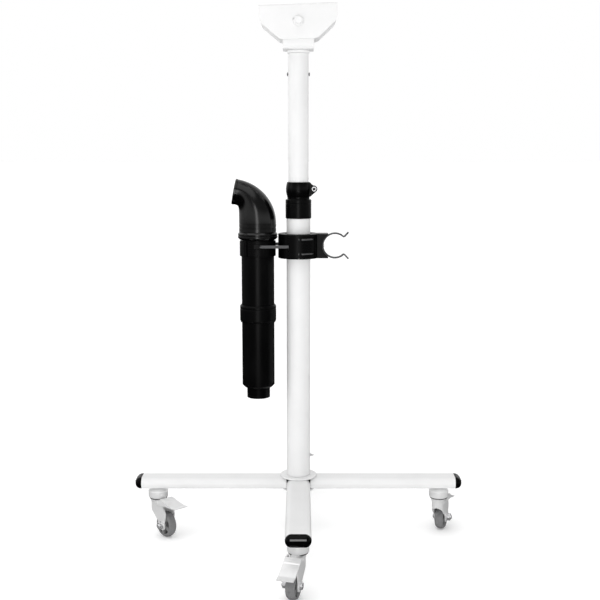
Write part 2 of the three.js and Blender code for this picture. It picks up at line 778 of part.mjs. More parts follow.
/** The saddle and its pivot bolt, in a group that is tilted about the pivot. */
function addSaddle() {
  const head = new THREE.Group();
  head.position.z = pivotHeight;
  head.rotation.y = degrees(-saddle.tilt);
  root.add(head);

  const top = saddle.pivotDrop;
  const bottom = top - saddle.height;
  const halfTop = saddle.width / 2;
  const halfFoot = saddle.foot / 2;
  const knee = top - saddle.rim;
  const channel = channelProfile(saddleHalfDepth, saddle.steel, saddle.bend, top, bottom);
  const outline = rounded([
    [-halfTop, top + through, 0],
    [-halfTop, knee, saddle.corner],
    [-halfFoot - 3, bottom, saddle.corner],
    [halfFoot + 3, bottom, saddle.corner],
    [halfTop, knee, saddle.corner],
    [halfTop, top + through, 0],
  ]);
  const sides = sidePlate(outline, -yoke.depth, yoke.depth, 4);
  const body = crossPlate(channel, -halfTop, halfTop, 3).intersect(sides);
  const pivotHole = hole(pivot.bolt + seat, -yoke.depth, yoke.depth, { axis: "y" });
  const stop = rod(stopHole.radius, -saddleHalfDepth - through, -saddleInner + through, {
    axis: "y",
    at: [stopHole.x, 0, stopHole.z],
    sides: 8,
  });
  const slots = [];
  for (const x of [-slotX, slotX]) {
    for (const y of [-slotY, slotY]) {
      const slot = flatOval(platform.slotLength, platform.slotWidth, x, y);
      slots.push(solid(plate(slot, top - 2 * saddle.steel, top + through, 2)));
    }
  }
  piece(head, "saddle_channel", cut(body, pivotHole, stop, ...slots), whitePowderCoat());

  const face = saddleHalfDepth + seat;
  const hexRadius = pivot.hex / Math.sqrt(3);
  const boltHead = join(
    rod(pivot.flange, -face - pivot.flangeHeight, -face, { axis: "y", sides: facets.turned }),
    rod(hexRadius, -face - pivot.flangeHeight - pivot.head, -face - 1, { axis: "y", sides: 6 }),
    rod(pivot.bolt, -face - 1, face + pivot.flangeHeight + pivot.head + 3, { axis: "y" }),
  );
  piece(head, "pivot_bolt", boltHead, whitePowderCoat());
  const nut = join(
    rod(pivot.flange, face, face + pivot.flangeHeight, { axis: "y", sides: facets.turned }),
    rod(hexRadius, face + 1, face + pivot.flangeHeight + pivot.head, { axis: "y", sides: 6 }),
  );
  const thread = hole(pivot.bolt + seat, face - through, 2 * face, { axis: "y" });
  piece(head, "pivot_nut", cut(nut, thread), whitePowderCoat());
}

// ---------------------------------------------------------------- mast clamp
const clampCentre = [0, 0, clamp.middle];

/** The cutters for the two tie rings' grooves, the same in both halves. */
function tieTunnels() {
  return [-tie.offset, tie.offset].map((z) =>
    turned(
      [
        [tieRadius - tie.depth / 2 - seat, z - tie.height / 2 - seat],
        [tieRadius + tie.depth / 2 + seat, z - tie.height / 2 - seat],
        [tieRadius + tie.depth / 2 + seat, z + tie.height / 2 + seat],
        [tieRadius - tie.depth / 2 - seat, z + tie.height / 2 + seat],
        [tieRadius - tie.depth / 2 - seat, z - tie.height / 2 - seat],
      ],
      { at: clampCentre, sides: facets.clamp },
    ),
  );
}

/** What lies outside a radius, between two heights, for cutting a shallow recess in the clamp's skin. */
function skinBeyond(radius) {
  const options = { sides: facets.clamp };
  const [from, to] = [clampBottom - through, clampTop + through];
  return cut(rod(2 * clampRadius, from, to, options), rod(radius, from - through, to + through, options));
}

/** The round body of the clamp before it is split into its halves. */
function clampBarrel() {
  const { edge } = clamp;
  return turned(
    [
      [0, clampBottom],
      [clampRadius - edge, clampBottom],
      [clampRadius, clampBottom + edge],
      [clampRadius, clampTop - edge],
      [clampRadius - edge, clampTop],
      [0, clampTop],
    ],
    { sides: facets.clamp },
  );
}

/** The left half, with the two pockets that take the links to the snap ring. */
function clampHalfLeft(bore) {
  const split = block(
    [-2 * clampRadius, -2 * clampRadius, clampBottom - through],
    [clamp.seam - seat / 2, 2 * clampRadius, clampTop + through],
  );
  const end = -Math.sqrt(clampRadius ** 2 - linkY ** 2) + link.intoClamp + seat;
  const half = link.height / 2 + seat;
  const halfSteel = link.steel / 2 + seat;
  const pockets = [-linkY, linkY].map((y) =>
    block([-clampRadius, y - halfSteel, clamp.middle - half], [end, y + halfSteel, clamp.middle + half]),
  );
  return cut(clampBarrel().intersect(split), bore, ...pockets, ...tieTunnels());
}

/** The right half, with the web that the hose clip sits in and the ribbed window over the tie rings. */
function clampHalfRight(bore) {
  const split = block(
    [clamp.seam + seat / 2, -2 * clampRadius, clampBottom - through],
    [2 * clampRadius, 2 * clampRadius, clampTop + through],
  );
  const web = block(
    [clampRadius - 8, -clamp.webDepth / 2, clampBottom],
    [webReach, clamp.webDepth / 2, clampTop],
  );
  const clipSpace = hole(hoseClip.radius + 2 * seat, -clamp.webDepth, clamp.webDepth, {
    axis: "y",
    at: [clipX, 0, clamp.middle],
    sides: facets.clamp,
  });
  const rivetHole = hole(rivet.radius + seat, boreOfClamp + rivet.depth - seat, 2 * clampRadius, {
    axis: "x",
    at: clampCentre,
    sides: facets.screw,
  });
  const panelHalf = clamp.height / 2 - panel.border;
  const panelBox = block(
    [panel.left, -2 * clampRadius, clamp.middle - panelHalf],
    [panel.right, 0, clamp.middle + panelHalf],
  );
  const slotHalf = tie.height / 2 + panel.slotMargin;
  const slots = [-tie.offset, tie.offset].map((z) =>
    block(
      [panel.left + panel.inset, -2 * clampRadius, clamp.middle + z - slotHalf],
      [panel.right - panel.inset, 0, clamp.middle + z + slotHalf],
    ),
  );
  const slotSkin = skinBeyond(tieRadius - tie.depth / 2 - seat);
  return cut(
    join(clampBarrel().intersect(split), web),
    bore,
    clipSpace,
    rivetHole,
    skinBeyond(clampRadius - panel.depth).intersect(panelBox),
    slotSkin.intersect(slots[0]),
    slotSkin.intersect(slots[1]),
    ...tieTunnels(),
  );
}

/** A split spring ring that holds the halves together, its gap hidden in the left half. */
function tieRing(z) {
  const gap = degrees(tie.gapHalf);
  const start = degrees(tie.gapAt) + gap;
  const end = start + 2 * Math.PI - 2 * gap;
  const band = new THREE.Shape();
  band.absarc(0, 0, tieRadius + tie.depth / 2, start, end, false);
  band.absarc(0, 0, tieRadius - tie.depth / 2, end, start, true);
  band.closePath();
  return solid(plate(band, z - tie.height / 2, z + tie.height / 2, 14));
}

function addClamp() {
  const bore = hole(boreOfClamp, clampBottom - through, clampTop + through, { sides: facets.tube });
  piece(root, "clamp_half_left", clampHalfLeft(bore), blackPlastic());
  piece(root, "clamp_half_right", clampHalfRight(bore), blackPlastic());
  const linerBore = lowerMast.radius + running;
  piece(root, "clamp_liner", pipe(linerBore + clamp.liner, linerBore, clampBottom, clampTop), rubber());
  piece(root, "tie_ring_lower", tieRing(clamp.middle - tie.offset), zincSteel());
  piece(root, "tie_ring_upper", tieRing(clamp.middle + tie.offset), zincSteel());
}

// ---------------------------------------------------------------- hose clip
function addHoseClip() {
  const outer = hoseClip.radius;
  const inner = outer - hoseClip.steel;
  const middle = outer - hoseClip.steel / 2;
  const mouth = degrees(hoseClip.mouth);
  const half = hoseClip.width / 2;
  const arc = new THREE.Shape();
  arc.absarc(0, 0, outer, mouth, 2 * Math.PI - mouth, false);
  arc.absarc(0, 0, inner, 2 * Math.PI - mouth, mouth, true);
  arc.closePath();
  const parts = [sidePlate(arc, -half, half, 14)];
  for (const side of [-1, 1]) {
    const neckX = middle * Math.cos(mouth);
    const neckZ = side * middle * Math.sin(mouth);
    const lip = new THREE.BoxGeometry(hoseClip.lip, hoseClip.width, hoseClip.steel);
    lip.translate(hoseClip.lip / 2, 0, 0).rotateY(-side * degrees(hoseClip.lipAngle));
    const tipX = neckX + hoseClip.lip * Math.cos(degrees(hoseClip.lipAngle));
    const tipZ = neckZ + side * hoseClip.lip * Math.sin(degrees(hoseClip.lipAngle));
    parts.push(solid(lip.translate(neckX, 0, neckZ)));
    parts.push(rod(hoseClip.steel / 2, -half, half, { axis: "y", at: [neckX, 0, neckZ], sides: 8 }));
    parts.push(rod(hoseClip.steel / 2 + 0.3, -half, half, { axis: "y", at: [tipX, 0, tipZ], sides: 8 }));
  }
  const rivetHole = hole(rivet.radius + seat, -2 * outer, 0, { axis: "x", sides: facets.screw });
  const seatOfClip = new THREE.Group();
  seatOfClip.position.set(clipX, 0, clamp.middle);
  root.add(seatOfClip);
  piece(seatOfClip, "hose_clip", cut(join(...parts), rivetHole), springSteel());

  const shankEnd = boreOfClamp + rivet.depth - clipX;
  const headFace = 2 * seat - inner;
  const shank = turned(
    [
      [0, shankEnd],
      [rivet.radius, shankEnd],
      [rivet.radius, headFace],
      [rivet.headRadius, headFace],
      [rivet.headRadius - 0.8, headFace + 1],
      [0, headFace + 1.3],
    ],
    { axis: "x", sides: facets.screw },
  );
  piece(seatOfClip, "clip_rivet", shank, zincSteel());
}

// ---------------------------------------------------------------- snap ring and its links
function addSnapRing() {
  const ringCentre = [nozzleX, 0, 0];
  const ring = turned(
    [
      [0, snapRing.bottom],
      [ringRadius - snapRing.edge, snapRing.bottom],
      [ringRadius, snapRing.bottom + snapRing.edge],
      [ringRadius, ringTop - snapRing.edge],
      [ringRadius - snapRing.edge, ringTop],
      [0, ringTop],
    ],
    { at: ringCentre, sides: facets.clamp },
  );
  // the thickened lip beyond the slit, on the side away from the clamp
  const slitTurn = degrees(snapRing.slitAngle);
  const lip = new THREE.BoxGeometry(7, 6, snapRing.height);
  lip.translate(ringRadius - 2.2, -snapRing.slit / 2 - 3, (snapRing.bottom + ringTop) / 2);
  lip.rotateZ(slitTurn).translate(nozzleX, 0, 0);
  const bore = hole(ringBore, snapRing.bottom - through, ringTop + through, {
    at: ringCentre,
    sides: facets.clamp,
  });
  const slit = new THREE.BoxGeometry(16, snapRing.slit, snapRing.height + 2);
  slit.translate(ringRadius, 0, (snapRing.bottom + ringTop) / 2).rotateZ(slitTurn).translate(nozzleX, 0, 0);
  const ringEnd = nozzleX + Math.sqrt(ringRadius ** 2 - linkY ** 2) - link.intoRing;
  const half = link.height / 2 + seat;
  const pockets = [-1, 1].map((side) => {
    const [a, b] = [side * (linkY - link.steel / 2 - seat), side * (linkY + link.steel / 2 + seat)];
    return block(
      [ringEnd - seat, Math.min(a, b), clamp.middle - half],
      [nozzleX + ringRadius, Math.max(a, b), clamp.middle + half],
    );
  });
  const lugs = [-1, 1].map((side) => {
    const [a, b] = [side * (linkY - 3), side * (linkY + link.steel / 2 + seat + 1.2)];
    return block(
      [ringEnd - 2.5, Math.min(a, b), clamp.middle - half - 1.6],
      [nozzleX + 5, Math.max(a, b), clamp.middle + half + 1.6],
    );
  });
  const body = cut(join(ring, solid(lip), ...lugs), bore, solid(slit), ...pockets);
  piece(root, "snap_ring", body, blackPlastic());

  const clampEnd = -Math.sqrt(clampRadius ** 2 - linkY ** 2) + link.intoClamp;
  for (const [name, side] of [
    ["front", -1],
    ["rear", 1],
  ]) {
    const low = [ringEnd, side * linkY - link.steel / 2, clamp.middle - link.height / 2];
    const high = [clampEnd, side * linkY + link.steel / 2, clamp.middle + link.height / 2];
    piece(root, "ring_link_" + name, block(low, high), springSteel());
  }
}

// ---------------------------------------------------------------- air nozzle
/** Rings of points along the elbow, between its outer and inner wall curves, with the wall taken off. */
function elbowRings(wall, overrun) {
  const bendStart = nutTop + elbow.straight;
  const rise = degrees(elbow.rise);
  const across = new THREE.Vector2(Math.sin(rise), Math.cos(rise)).multiplyScalar(elbow.mouthRadius);
  const along = new THREE.Vector2(-Math.cos(rise), Math.sin(rise));
  const mouth = new THREE.Vector2(mouthX, elbow.mouthZ);
  const wallCurve = (side, lift, back) => {
    const end = mouth.clone().addScaledVector(across, side);
    return new THREE.CubicBezierCurve(
      new THREE.Vector2(side * elbowRadius, bendStart),
      new THREE.Vector2(side * elbowRadius, bendStart + lift),
      end.clone().addScaledVector(along, -back),
      end,
    );
  };
  const outside = wallCurve(1, 42, 44);
  const inside = wallCurve(-1, 27, 9);
  const count = 22;
  const ringAt = (low, high, halfWidth) => {
    const middle = low.clone().add(high).multiplyScalar(0.5);
    const reach = high.clone().sub(low).multiplyScalar(0.5);
    const shrink = (reach.length() - wall) / reach.length();
    return Array.from({ length: count }, (_, i) => {
      const angle = (i / count) * 2 * Math.PI;
      const c = Math.cos(angle) * shrink;
      return new THREE.Vector3(
        nozzleX + middle.x + reach.x * c,
        (halfWidth - wall) * Math.sin(angle),
        middle.y + reach.y * c,
      );
    });
  };
  const rings = [];
  const startZ = nutTop + seat - overrun;
  const side = (s, z) => new THREE.Vector2(s * elbowRadius, z);
  rings.push(ringAt(side(-1, startZ), side(1, startZ), elbowRadius));
  const steps = 6;
  for (let i = 0; i <= steps; i++) {
    const t = i / steps;
    const halfWidth = THREE.MathUtils.lerp(elbowRadius, elbow.mouthRadius, t * t * (3 - 2 * t));
    rings.push(ringAt(inside.getPoint(t), outside.getPoint(t), halfWidth));
  }
  if (overrun > 0) {
    const past = along.clone().multiplyScalar(overrun);
    const low = inside.getPoint(1).add(past);
    rings.push(ringAt(low, outside.getPoint(1).add(past), elbow.mouthRadius));
  }
  return rings;
}

function addNozzle() {
  const at = [nozzleX, 0, 0];
  const elbowTube = cut(loft(elbowRings(0, 0)), loft(elbowRings(elbow.wall, through)));
  piece(root, "nozzle_elbow", elbowTube, glossBlack());

  const nut = turned(
    [
      [0, nutBottom],
      [nutRadius - elbowNut.chamfer, nutBottom],
      [nutRadius, nutBottom + elbowNut.chamfer],
      [nutRadius, nutTop - elbowNut.chamfer],
      [elbowRadius, nutTop],
      [0, nutTop],
    ],
    { at, sides: facets.tube },
  );
  const options = { at, sides: facets.tube };
  const nutBore = hole(nozzle.radius + seat, nutBottom - through, nutTop + through, options);
  piece(root, "elbow_nut", cut(nut, nutBore), glossBlack());

  const tubeTop = nutTop + elbow.straight - 2;
  const tube = pipe(nozzle.radius, tubeBore, couplingMiddle + seat, tubeTop, options);
  piece(root, "main_tube", tube, satinBlack());

  const sleeve = turned(
    [
      [0, coupling.bottom],
      [couplingRadius, coupling.bottom],
      [couplingRadius, couplingTop],
      [0, couplingTop],
    ],
    { at, sides: facets.tube },
  );
  const sleeveBore = hole(nozzle.radius + seat, coupling.bottom - through, couplingTop + through, options);
  piece(root, "coupling_ring", cut(sleeve, sleeveBore), satinBlack());

  const shell = (shrink, overrun) =>
    turned(
      [
        [0, lowerTube.neckEnd - overrun],
        [lowerTube.neckRadius - shrink, lowerTube.neckEnd - overrun],
        [lowerTube.neckRadius - shrink, lowerTube.end - lowerTube.chamfer + shrink],
        [nozzle.radius - lowerTube.shoulder - shrink, lowerTube.end - lowerTube.chamfer + shrink],
        [nozzle.radius - shrink, lowerTube.end + shrink / 2],
        [nozzle.radius - shrink, couplingMiddle - seat + overrun],
        [0, couplingMiddle - seat + overrun],
      ],
      { at, sides: facets.tube },
    );
  piece(root, "lower_tube", cut(shell(0, 0), shell(nozzle.wall, through)), satinBlack());
}

addHub();
addLegsAndCasters();
addLowerMast();
addLockCollar();
addUpperMast();
addYoke();
addSaddle();
addClamp();
addHoseClip();
addSnapRing();
addNozzle();

export default root;
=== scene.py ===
"""Looks of a wheeled floor stand for a pet dryer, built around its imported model.

Every shape is drawn in millimetres in the frame's own axes (+Z up, -Y the front) and is brought to metres
when it is dressed. Places come from the boxes of the frame's nodes and from its joints.
"""
import json
import logging
import math
from dataclasses import dataclass
from enum import Enum
from typing import Any, Dict, List, Optional, Sequence, Tuple, Union

import bmesh
import bpy
from mathutils import Matrix, Vector


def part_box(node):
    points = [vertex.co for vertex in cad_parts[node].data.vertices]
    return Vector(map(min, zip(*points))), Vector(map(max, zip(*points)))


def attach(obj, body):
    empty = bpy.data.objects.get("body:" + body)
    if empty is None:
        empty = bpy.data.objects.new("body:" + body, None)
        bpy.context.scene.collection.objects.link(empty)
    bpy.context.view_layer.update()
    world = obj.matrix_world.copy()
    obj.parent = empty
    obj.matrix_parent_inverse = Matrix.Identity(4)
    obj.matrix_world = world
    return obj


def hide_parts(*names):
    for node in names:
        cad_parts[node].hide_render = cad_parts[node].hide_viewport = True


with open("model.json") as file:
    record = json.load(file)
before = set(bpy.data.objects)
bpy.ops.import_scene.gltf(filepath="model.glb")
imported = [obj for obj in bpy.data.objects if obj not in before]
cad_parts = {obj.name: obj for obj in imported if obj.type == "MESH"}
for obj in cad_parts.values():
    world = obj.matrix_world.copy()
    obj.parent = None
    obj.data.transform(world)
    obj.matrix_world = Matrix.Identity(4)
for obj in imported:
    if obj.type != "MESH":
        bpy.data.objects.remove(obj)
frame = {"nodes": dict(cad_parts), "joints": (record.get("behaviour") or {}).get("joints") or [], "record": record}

LOG = logging.getLogger("dryer_stand")
MM = 0.001
ROUND = 96  # steps of a full turn on a large round piece
FINE_ROUND = 128  # steps of a full turn on a tube or what fits around it
SMALL_ROUND = 40  # steps of a full turn on a screw, pin or nut
SHARP = math.radians(34)  # an edge that turns more than this stays crisp
GAP = 0.3  # what two resting faces keep between them
PAST = 1.0  # how far a cutter runs past what it cuts

Point = Tuple[float, ...]


class Axis(Enum):
    """The axis that a turned piece is turned about, or that a prism runs along."""

    X = "x"
    Y = "y"
    Z = "z"


class Join(Enum):
    """What one shape does to another."""

    ADD = "UNION"
    CUT = "DIFFERENCE"
    KEEP = "INTERSECT"


class Corner(Enum):
    """The four ends of the crossed legs."""

    RIGHT = "right"
    REAR = "rear"
    LEFT = "left"
    FRONT = "front"


class Hand(Enum):
    """The two sides of a mirrored pair, with their sign along the pair's axis."""

    MINUS = -1
    PLUS = 1


# ---------------------------------------------------------------- node trees
class Graph:
    """A node tree, with one method that adds any node."""

    def __init__(self, tree: bpy.types.NodeTree) -> None:
        """Wraps a tree.

        Args:
            tree: the shader or geometry tree to add nodes to.
        """
        self.tree = tree

    def node(
        self,
        kind: str,
        settings: Optional[Dict[str, Any]] = None,
        inputs: Optional[Dict[Union[str, int], Any]] = None,
        output: Union[str, int] = 0,
    ) -> "Wire":
        """Adds a node.

        Args:
            kind: the node's type name.
            settings: attributes set before anything is linked.
            inputs: a value or a Wire for each named or numbered input.
            output: the output that is wanted.

        Returns:
            That output, ready for arithmetic.
        """
        made = self.tree.nodes.new(kind)
        for key, value in (settings or {}).items():
            setattr(made, key, value)
        for key, value in (inputs or {}).items():
            if isinstance(value, Wire):
                self.tree.links.new(value.socket, made.inputs[key])
            else:
                made.inputs[key].default_value = value
        return Wire(self, made.outputs[output])


class Wire:
    """A node's output that takes Python's arithmetic; each operator adds a Math node."""

    def __init__(self, graph: Graph, socket: bpy.types.NodeSocket) -> None:
        """Wraps an output socket of a graph."""
        self.graph = graph
        self.socket = socket

    def _math(self, operation: str, first: "Operand", second: "Operand") -> "Wire":
        """Adds one Math node and returns its result."""
        return self.graph.node("ShaderNodeMath", {"operation": operation}, {0: first, 1: second})

    def __add__(self, other: "Operand") -> "Wire":
        """Sum."""
        return self._math("ADD", self, other)

    __radd__ = __add__

    def __sub__(self, other: "Operand") -> "Wire":
        """Difference."""
        return self._math("SUBTRACT", self, other)

    def __rsub__(self, other: "Operand") -> "Wire":
        """Difference, reflected."""
        return self._math("SUBTRACT", other, self)

    def __mul__(self, other: "Operand") -> "Wire":
        """Product."""
        return self._math("MULTIPLY", self, other)

    __rmul__ = __mul__

    def __truediv__(self, other: "Operand") -> "Wire":
        """Quotient."""
        return self._math("DIVIDE", self, other)

    def above(self, edge: float, width: float) -> "Wire":
        """A soft step from 0 to 1.

        Args:
            edge: where the step starts.
            width: how far it takes to reach 1.

        Returns:
            The step, held between 0 and 1.
        """
        ramp = {"From Min": edge, "From Max": edge + width}
        return self.graph.node("ShaderNodeMapRange", {"clamp": True}, {"Value": self, **ramp})


Operand = Union[Wire, float]


# ---------------------------------------------------------------- finishes
class Paint(Graph):
    """The node tree of one material, with the few building blocks that every finish here uses."""

    def __init__(self, name: str) -> None:
        """Starts an empty material.

        Args:
            name: the material's name.
        """
        self.material = bpy.data.materials.new(name)
        self.material.use_nodes = True
        super().__init__(self.material.node_tree)
        self.tree.nodes.clear()
        self.place = self.node("ShaderNodeTexCoord", output="Object")

    def noise(self, size: float, detail: float = 2.0, stretch: Point = (1, 1, 1), rough: float = 0.5) -> Wire:
        """Cloudy noise in the object's own space.

        Args:
            size: the size of its clouds in millimetres.
            detail: how many finer octaves it has.
            stretch: how much its coordinates are scaled along each axis.
            rough: how strong the finer octaves are.

        Returns:
            A value around 0.5.
        """
        stretched = self.node("ShaderNodeMapping", {}, {"Vector": self.place, "Scale": stretch})
        return self.node(
            "ShaderNodeTexNoise",
            {},
            {"Vector": stretched, "Scale": 1 / (size * MM), "Detail": detail, "Roughness": rough},
            "Fac",
        )

    def blend(self, first: Any, second: Any, factor: Wire) -> Wire:
        """A colour between two, by a factor."""
        return self.node("ShaderNodeMix", {"data_type": "RGBA"}, {0: factor, 6: first, 7: second}, 2)

    def bump(self, height: Wire, depth: float, strength: float) -> Wire:
        """A normal from a height between 0 and 1.

        Args:
            height: the relief.
            depth: how deep a height of 1 is, in millimetres.
            strength: how much of it shows.

        Returns:
            The bent normal.
        """
        relief = {"Strength": strength, "Distance": depth * MM, "Height": height}
        return self.node("ShaderNodeBump", {}, relief)

    def surface(self, **sockets: Any) -> bpy.types.Material:
        """Closes the tree with a Principled shader.

        Args:
            **sockets: its inputs, with underscores for spaces.

        Returns:
            The finished material.
        """
        named = {key.replace("_", " "): value for key, value in sockets.items()}
        shader = self.node("ShaderNodeBsdfPrincipled", {}, named)
        end = self.tree.nodes.new("ShaderNodeOutputMaterial")
        self.tree.links.new(shader.socket, end.inputs["Surface"])
        return self.material


def rgb(red: float, green: float, blue: float) -> Tuple[float, float, float, float]:
    """An opaque colour."""
    return (red, green, blue, 1.0)


@dataclass(frozen=True)
class Finish:
    """What every finish states. Each kind lays its own nodes."""

    name: str
    slot: str
    color: Tuple[float, float, float, float]
    roughness: float

    def lay(self) -> bpy.types.Material:
        """Builds the material."""
        raise NotImplementedError

    def material(self) -> bpy.types.Material:
        """The material of this finish, built once."""
        return bpy.data.materials.get(self.name) or self.lay()


@dataclass(frozen=True)
class PowderCoat(Finish):
    """White powder coat: orange peel and faint clouding."""

    peel: float = 1.1

    def lay(self) -> bpy.types.Material:
        """Builds the material."""
        paint = Paint(self.name)
        clouds = paint.noise(70, 3)
        peel = paint.noise(self.peel, 2)
        fine = paint.noise(self.peel / 3, 1)
        dull = tuple(0.955 * c for c in self.color[:3]) + (1.0,)
        color = paint.blend(self.color, dull, clouds.above(0.42, 0.3))
        height = peel * 0.75 + fine * 0.25
        return paint.surface(
            Base_Color=color,
            Roughness=self.roughness + 0.10 * paint.noise(14, 3) - 0.05,
            Normal=paint.bump(height, 0.05, 0.5),
            Specular_IOR_Level=0.45,
        )


@dataclass(frozen=True)
class Moulded(Finish):
    """Black moulded plastic with a spark-eroded grain and pale handling marks."""

    grain: float = 0.5
    depth: float = 0.04
    specular: float = 0.3

    def lay(self) -> bpy.types.Material:
        """Builds the material."""
        paint = Paint(self.name)
        grain = paint.noise(self.grain, 2, rough=0.6)
        scuffs = paint.noise(9, 5, (1, 1, 0.25), 0.65).above(0.60, 0.16)
        worn = tuple(c + 0.002 for c in self.color[:3]) + (1.0,)
        return paint.surface(
            Base_Color=paint.blend(self.color, worn, scuffs),
            Roughness=self.roughness + 0.09 * paint.noise(20, 3) + 0.08 * scuffs - 0.045,
            Normal=paint.bump(grain, self.depth, 0.6),
            Specular_IOR_Level=self.specular,
        )


@dataclass(frozen=True)
class Glossy(Finish):
    """Polished black plastic: nearly smooth, with the slow waviness of a moulding and hairline marks."""

    def lay(self) -> bpy.types.Material:
        """Builds the material."""
        paint = Paint(self.name)
        wave = paint.noise(16, 1)
        hair = paint.noise(1.4, 4, (1, 1, 0.12), 0.7).above(0.64, 0.1)
        dusty = tuple(c + 0.001 for c in self.color[:3]) + (1.0,)
        return paint.surface(
            Base_Color=paint.blend(self.color, dusty, paint.noise(30, 4).above(0.5, 0.3)),
            Roughness=self.roughness + 0.06 * paint.noise(24, 2) + 0.06 * hair,
            Normal=paint.bump(wave, 0.12, 0.35),
            Specular_IOR_Level=0.32,
        )


@dataclass(frozen=True)
class DrawnPlastic(Finish):
    """Extruded black tube: fine draw lines along Z and a satin skin."""

    def lay(self) -> bpy.types.Material:
        """Builds the material."""
        paint = Paint(self.name)
        lines = paint.noise(0.5, 3, (1, 1, 0.01), 0.6)
        mottle = paint.noise(26, 3, (1, 1, 0.5))
        lifted = tuple(c + 0.001 for c in self.color[:3]) + (1.0,)
        return paint.surface(
            Base_Color=paint.blend(self.color, lifted, mottle.above(0.45, 0.3)),
            Roughness=self.roughness + 0.12 * mottle - 0.06,
            Normal=paint.bump(lines, 0.02, 0.5),
            Specular_IOR_Level=0.07,
        )


@dataclass(frozen=True)
class Plated(Finish):
    """Zinc or spring steel: pressed metal with a rolled grain, clouded plating and small pits."""

    grain: float = 0.4
    cloud: float = 7.0
    metal: float = 1.0

    def lay(self) -> bpy.types.Material:
        """Builds the material."""
        paint = Paint(self.name)
        clouds = paint.noise(self.cloud, 4, rough=0.6)
        grain = paint.noise(self.grain, 3, (1, 1, 0.3))
        pits = paint.noise(1.3, 3).above(0.68, 0.08)
        dark = tuple(0.94 * c for c in self.color[:3]) + (1.0,)
        return paint.surface(
            Base_Color=paint.blend(self.color, dark, clouds.above(0.45, 0.35)),
            Metallic=self.metal * (1.0 - 0.12 * pits),
            Roughness=self.roughness + 0.12 * clouds - 0.04 + 0.08 * pits,
            Normal=paint.bump(grain * 0.6 - pits * 0.4, 0.02, 0.4),
        )


@dataclass(frozen=True)
class Elastic(Finish):
    """Rubber or soft tread: matt, speckled, with moulding marks around it."""

    speckle: float = 0.9
    lift: float = 0.05

    def lay(self) -> bpy.types.Material:
        """Builds the material."""
        paint = Paint(self.name)
        speckle = paint.noise(self.speckle, 3, rough=0.7)
        dirt = paint.noise(8, 4).above(0.52, 0.25)
        pale = tuple(c + self.lift for c in self.color[:3]) + (1.0,)
        dark = tuple(0.72 * c for c in self.color[:3]) + (1.0,)
        flecked = paint.blend(self.color, pale, speckle.above(0.5, 0.25))
        return paint.surface(
            Base_Color=paint.blend(flecked, dark, dirt),
            Roughness=self.roughness + 0.1 * speckle - 0.05,
            Normal=paint.bump(speckle, 0.06, 0.5),
            Specular_IOR_Level=0.3,
        )


@dataclass(frozen=True)
class FloorPaint(Finish):
    """A plain pale floor that glows a little."""

    glow: float = 0.16

    def lay(self) -> bpy.types.Material:
        """Builds the material."""
        paint = Paint(self.name)
        soft = tuple(0.985 * c for c in self.color[:3]) + (1.0,)
        return paint.surface(
            Base_Color=paint.blend(self.color, soft, paint.noise(400, 2)),
            Roughness=self.roughness,
            Specular_IOR_Level=0.1,
            Emission_Color=self.color,
            Emission_Strength=self.glow,
        )


WHITE = PowderCoat("white_orange_peel", "white_powder_coat", rgb(0.765, 0.765, 0.765), 0.42)
CAP_BLACK = Moulded("cap_plastic", "black_plastic", rgb(0.001, 0.001, 0.0011), 0.2, 0.7, 0.02, 0.07)
# Lighter grey plastic for the rib on the leg caps: painted highlight.
CAP_HIGHLIGHT = Moulded("painted_highlight_cap_bar", "black_plastic", rgb(0.13, 0.13, 0.13), 0.3, 0.7, 0.02, 0.3)
CLAMP_BLACK = Moulded("clamp_plastic", "black_plastic", rgb(0.0012, 0.0012, 0.0013), 0.34, 0.5, 0.03, 0.08)
# Black collar plastic; the same colour is the painted shade inside the collar screw's socket.
COLLAR_BLACK_AND_SHADE = Moulded("collar_plastic_and_painted_shade", "satin_black", rgb(0.0012, 0.0012, 0.0013), 0.28, 0.6, 0.02, 0.08)
ELBOW_BLACK = Glossy("elbow_plastic", "gloss_black", rgb(0.0008, 0.0008, 0.0009), 0.16)
TUBE_BLACK = DrawnPlastic("tube_plastic", "satin_black", rgb(0.001, 0.001, 0.0011), 0.3)
ZINC = Plated("zinc_plate", "zinc_steel", rgb(0.80, 0.80, 0.80), 0.34, 0.4, 14.0, 0.3)
CHROME = Plated("bright_screw", "zinc_steel", rgb(0.74, 0.74, 0.75), 0.2, 0.6, 5.0, 0.7)
SPRING = Plated("dark_spring_strip", "spring_steel", rgb(0.05, 0.05, 0.052), 0.4, 0.5, 6.0, 0.35)
TIE_STEEL = Plated("tie_steel", "zinc_steel", rgb(0.20, 0.20, 0.205), 0.32, 0.5, 6.0)
NYLON = Elastic("natural_nylon", "nylon", rgb(0.72, 0.71, 0.67), 0.42, 1.5, 0.04)
TREAD = Elastic("wheel_tread_rubber", "grey_tread", rgb(0.17, 0.17, 0.172), 0.6, 0.8, 0.07)
# A dark copy of the tread rubber for the web in the wheel's pockets: painted shade.
TREAD_SHADE = Elastic("wheel_pocket_painted_shade", "grey_tread", rgb(0.008, 0.008, 0.0083), 0.5, 0.8, 0.004)
LINER = Elastic("clamp_liner_rubber", "rubber_liner", rgb(0.05, 0.05, 0.052), 0.6, 0.8, 0.02)
# Dark rubber for the brake shoe; the same colour is the painted shade of the hub corner wedges and of the ring in
# the caster's race groove.
BRAKE_RUBBER_AND_SHADE = Elastic("brake_rubber_and_painted_shade", "zinc_steel", rgb(0.012, 0.012, 0.012), 0.6, 0.8, 0.01)
FLOOR = FloorPaint("pale_floor", "", rgb(0.97, 0.97, 0.97), 0.7)


# ---------------------------------------------------------------- shapes
def settle(thing: bpy.types.Object) -> bpy.types.Object:
    """Turns an object's modifiers into plain mesh and removes them.

    Args:
        thing: the object, with its modifiers in place.

    Returns:
        The same object.
    """
    bpy.context.view_layer.update()
    evaluated = thing.evaluated_get(bpy.context.evaluated_depsgraph_get())
    mesh = bpy.data.meshes.new_from_object(evaluated)
    old = thing.data
    thing.modifiers.clear()
    thing.data = mesh
    bpy.data.meshes.remove(old)
    return thing


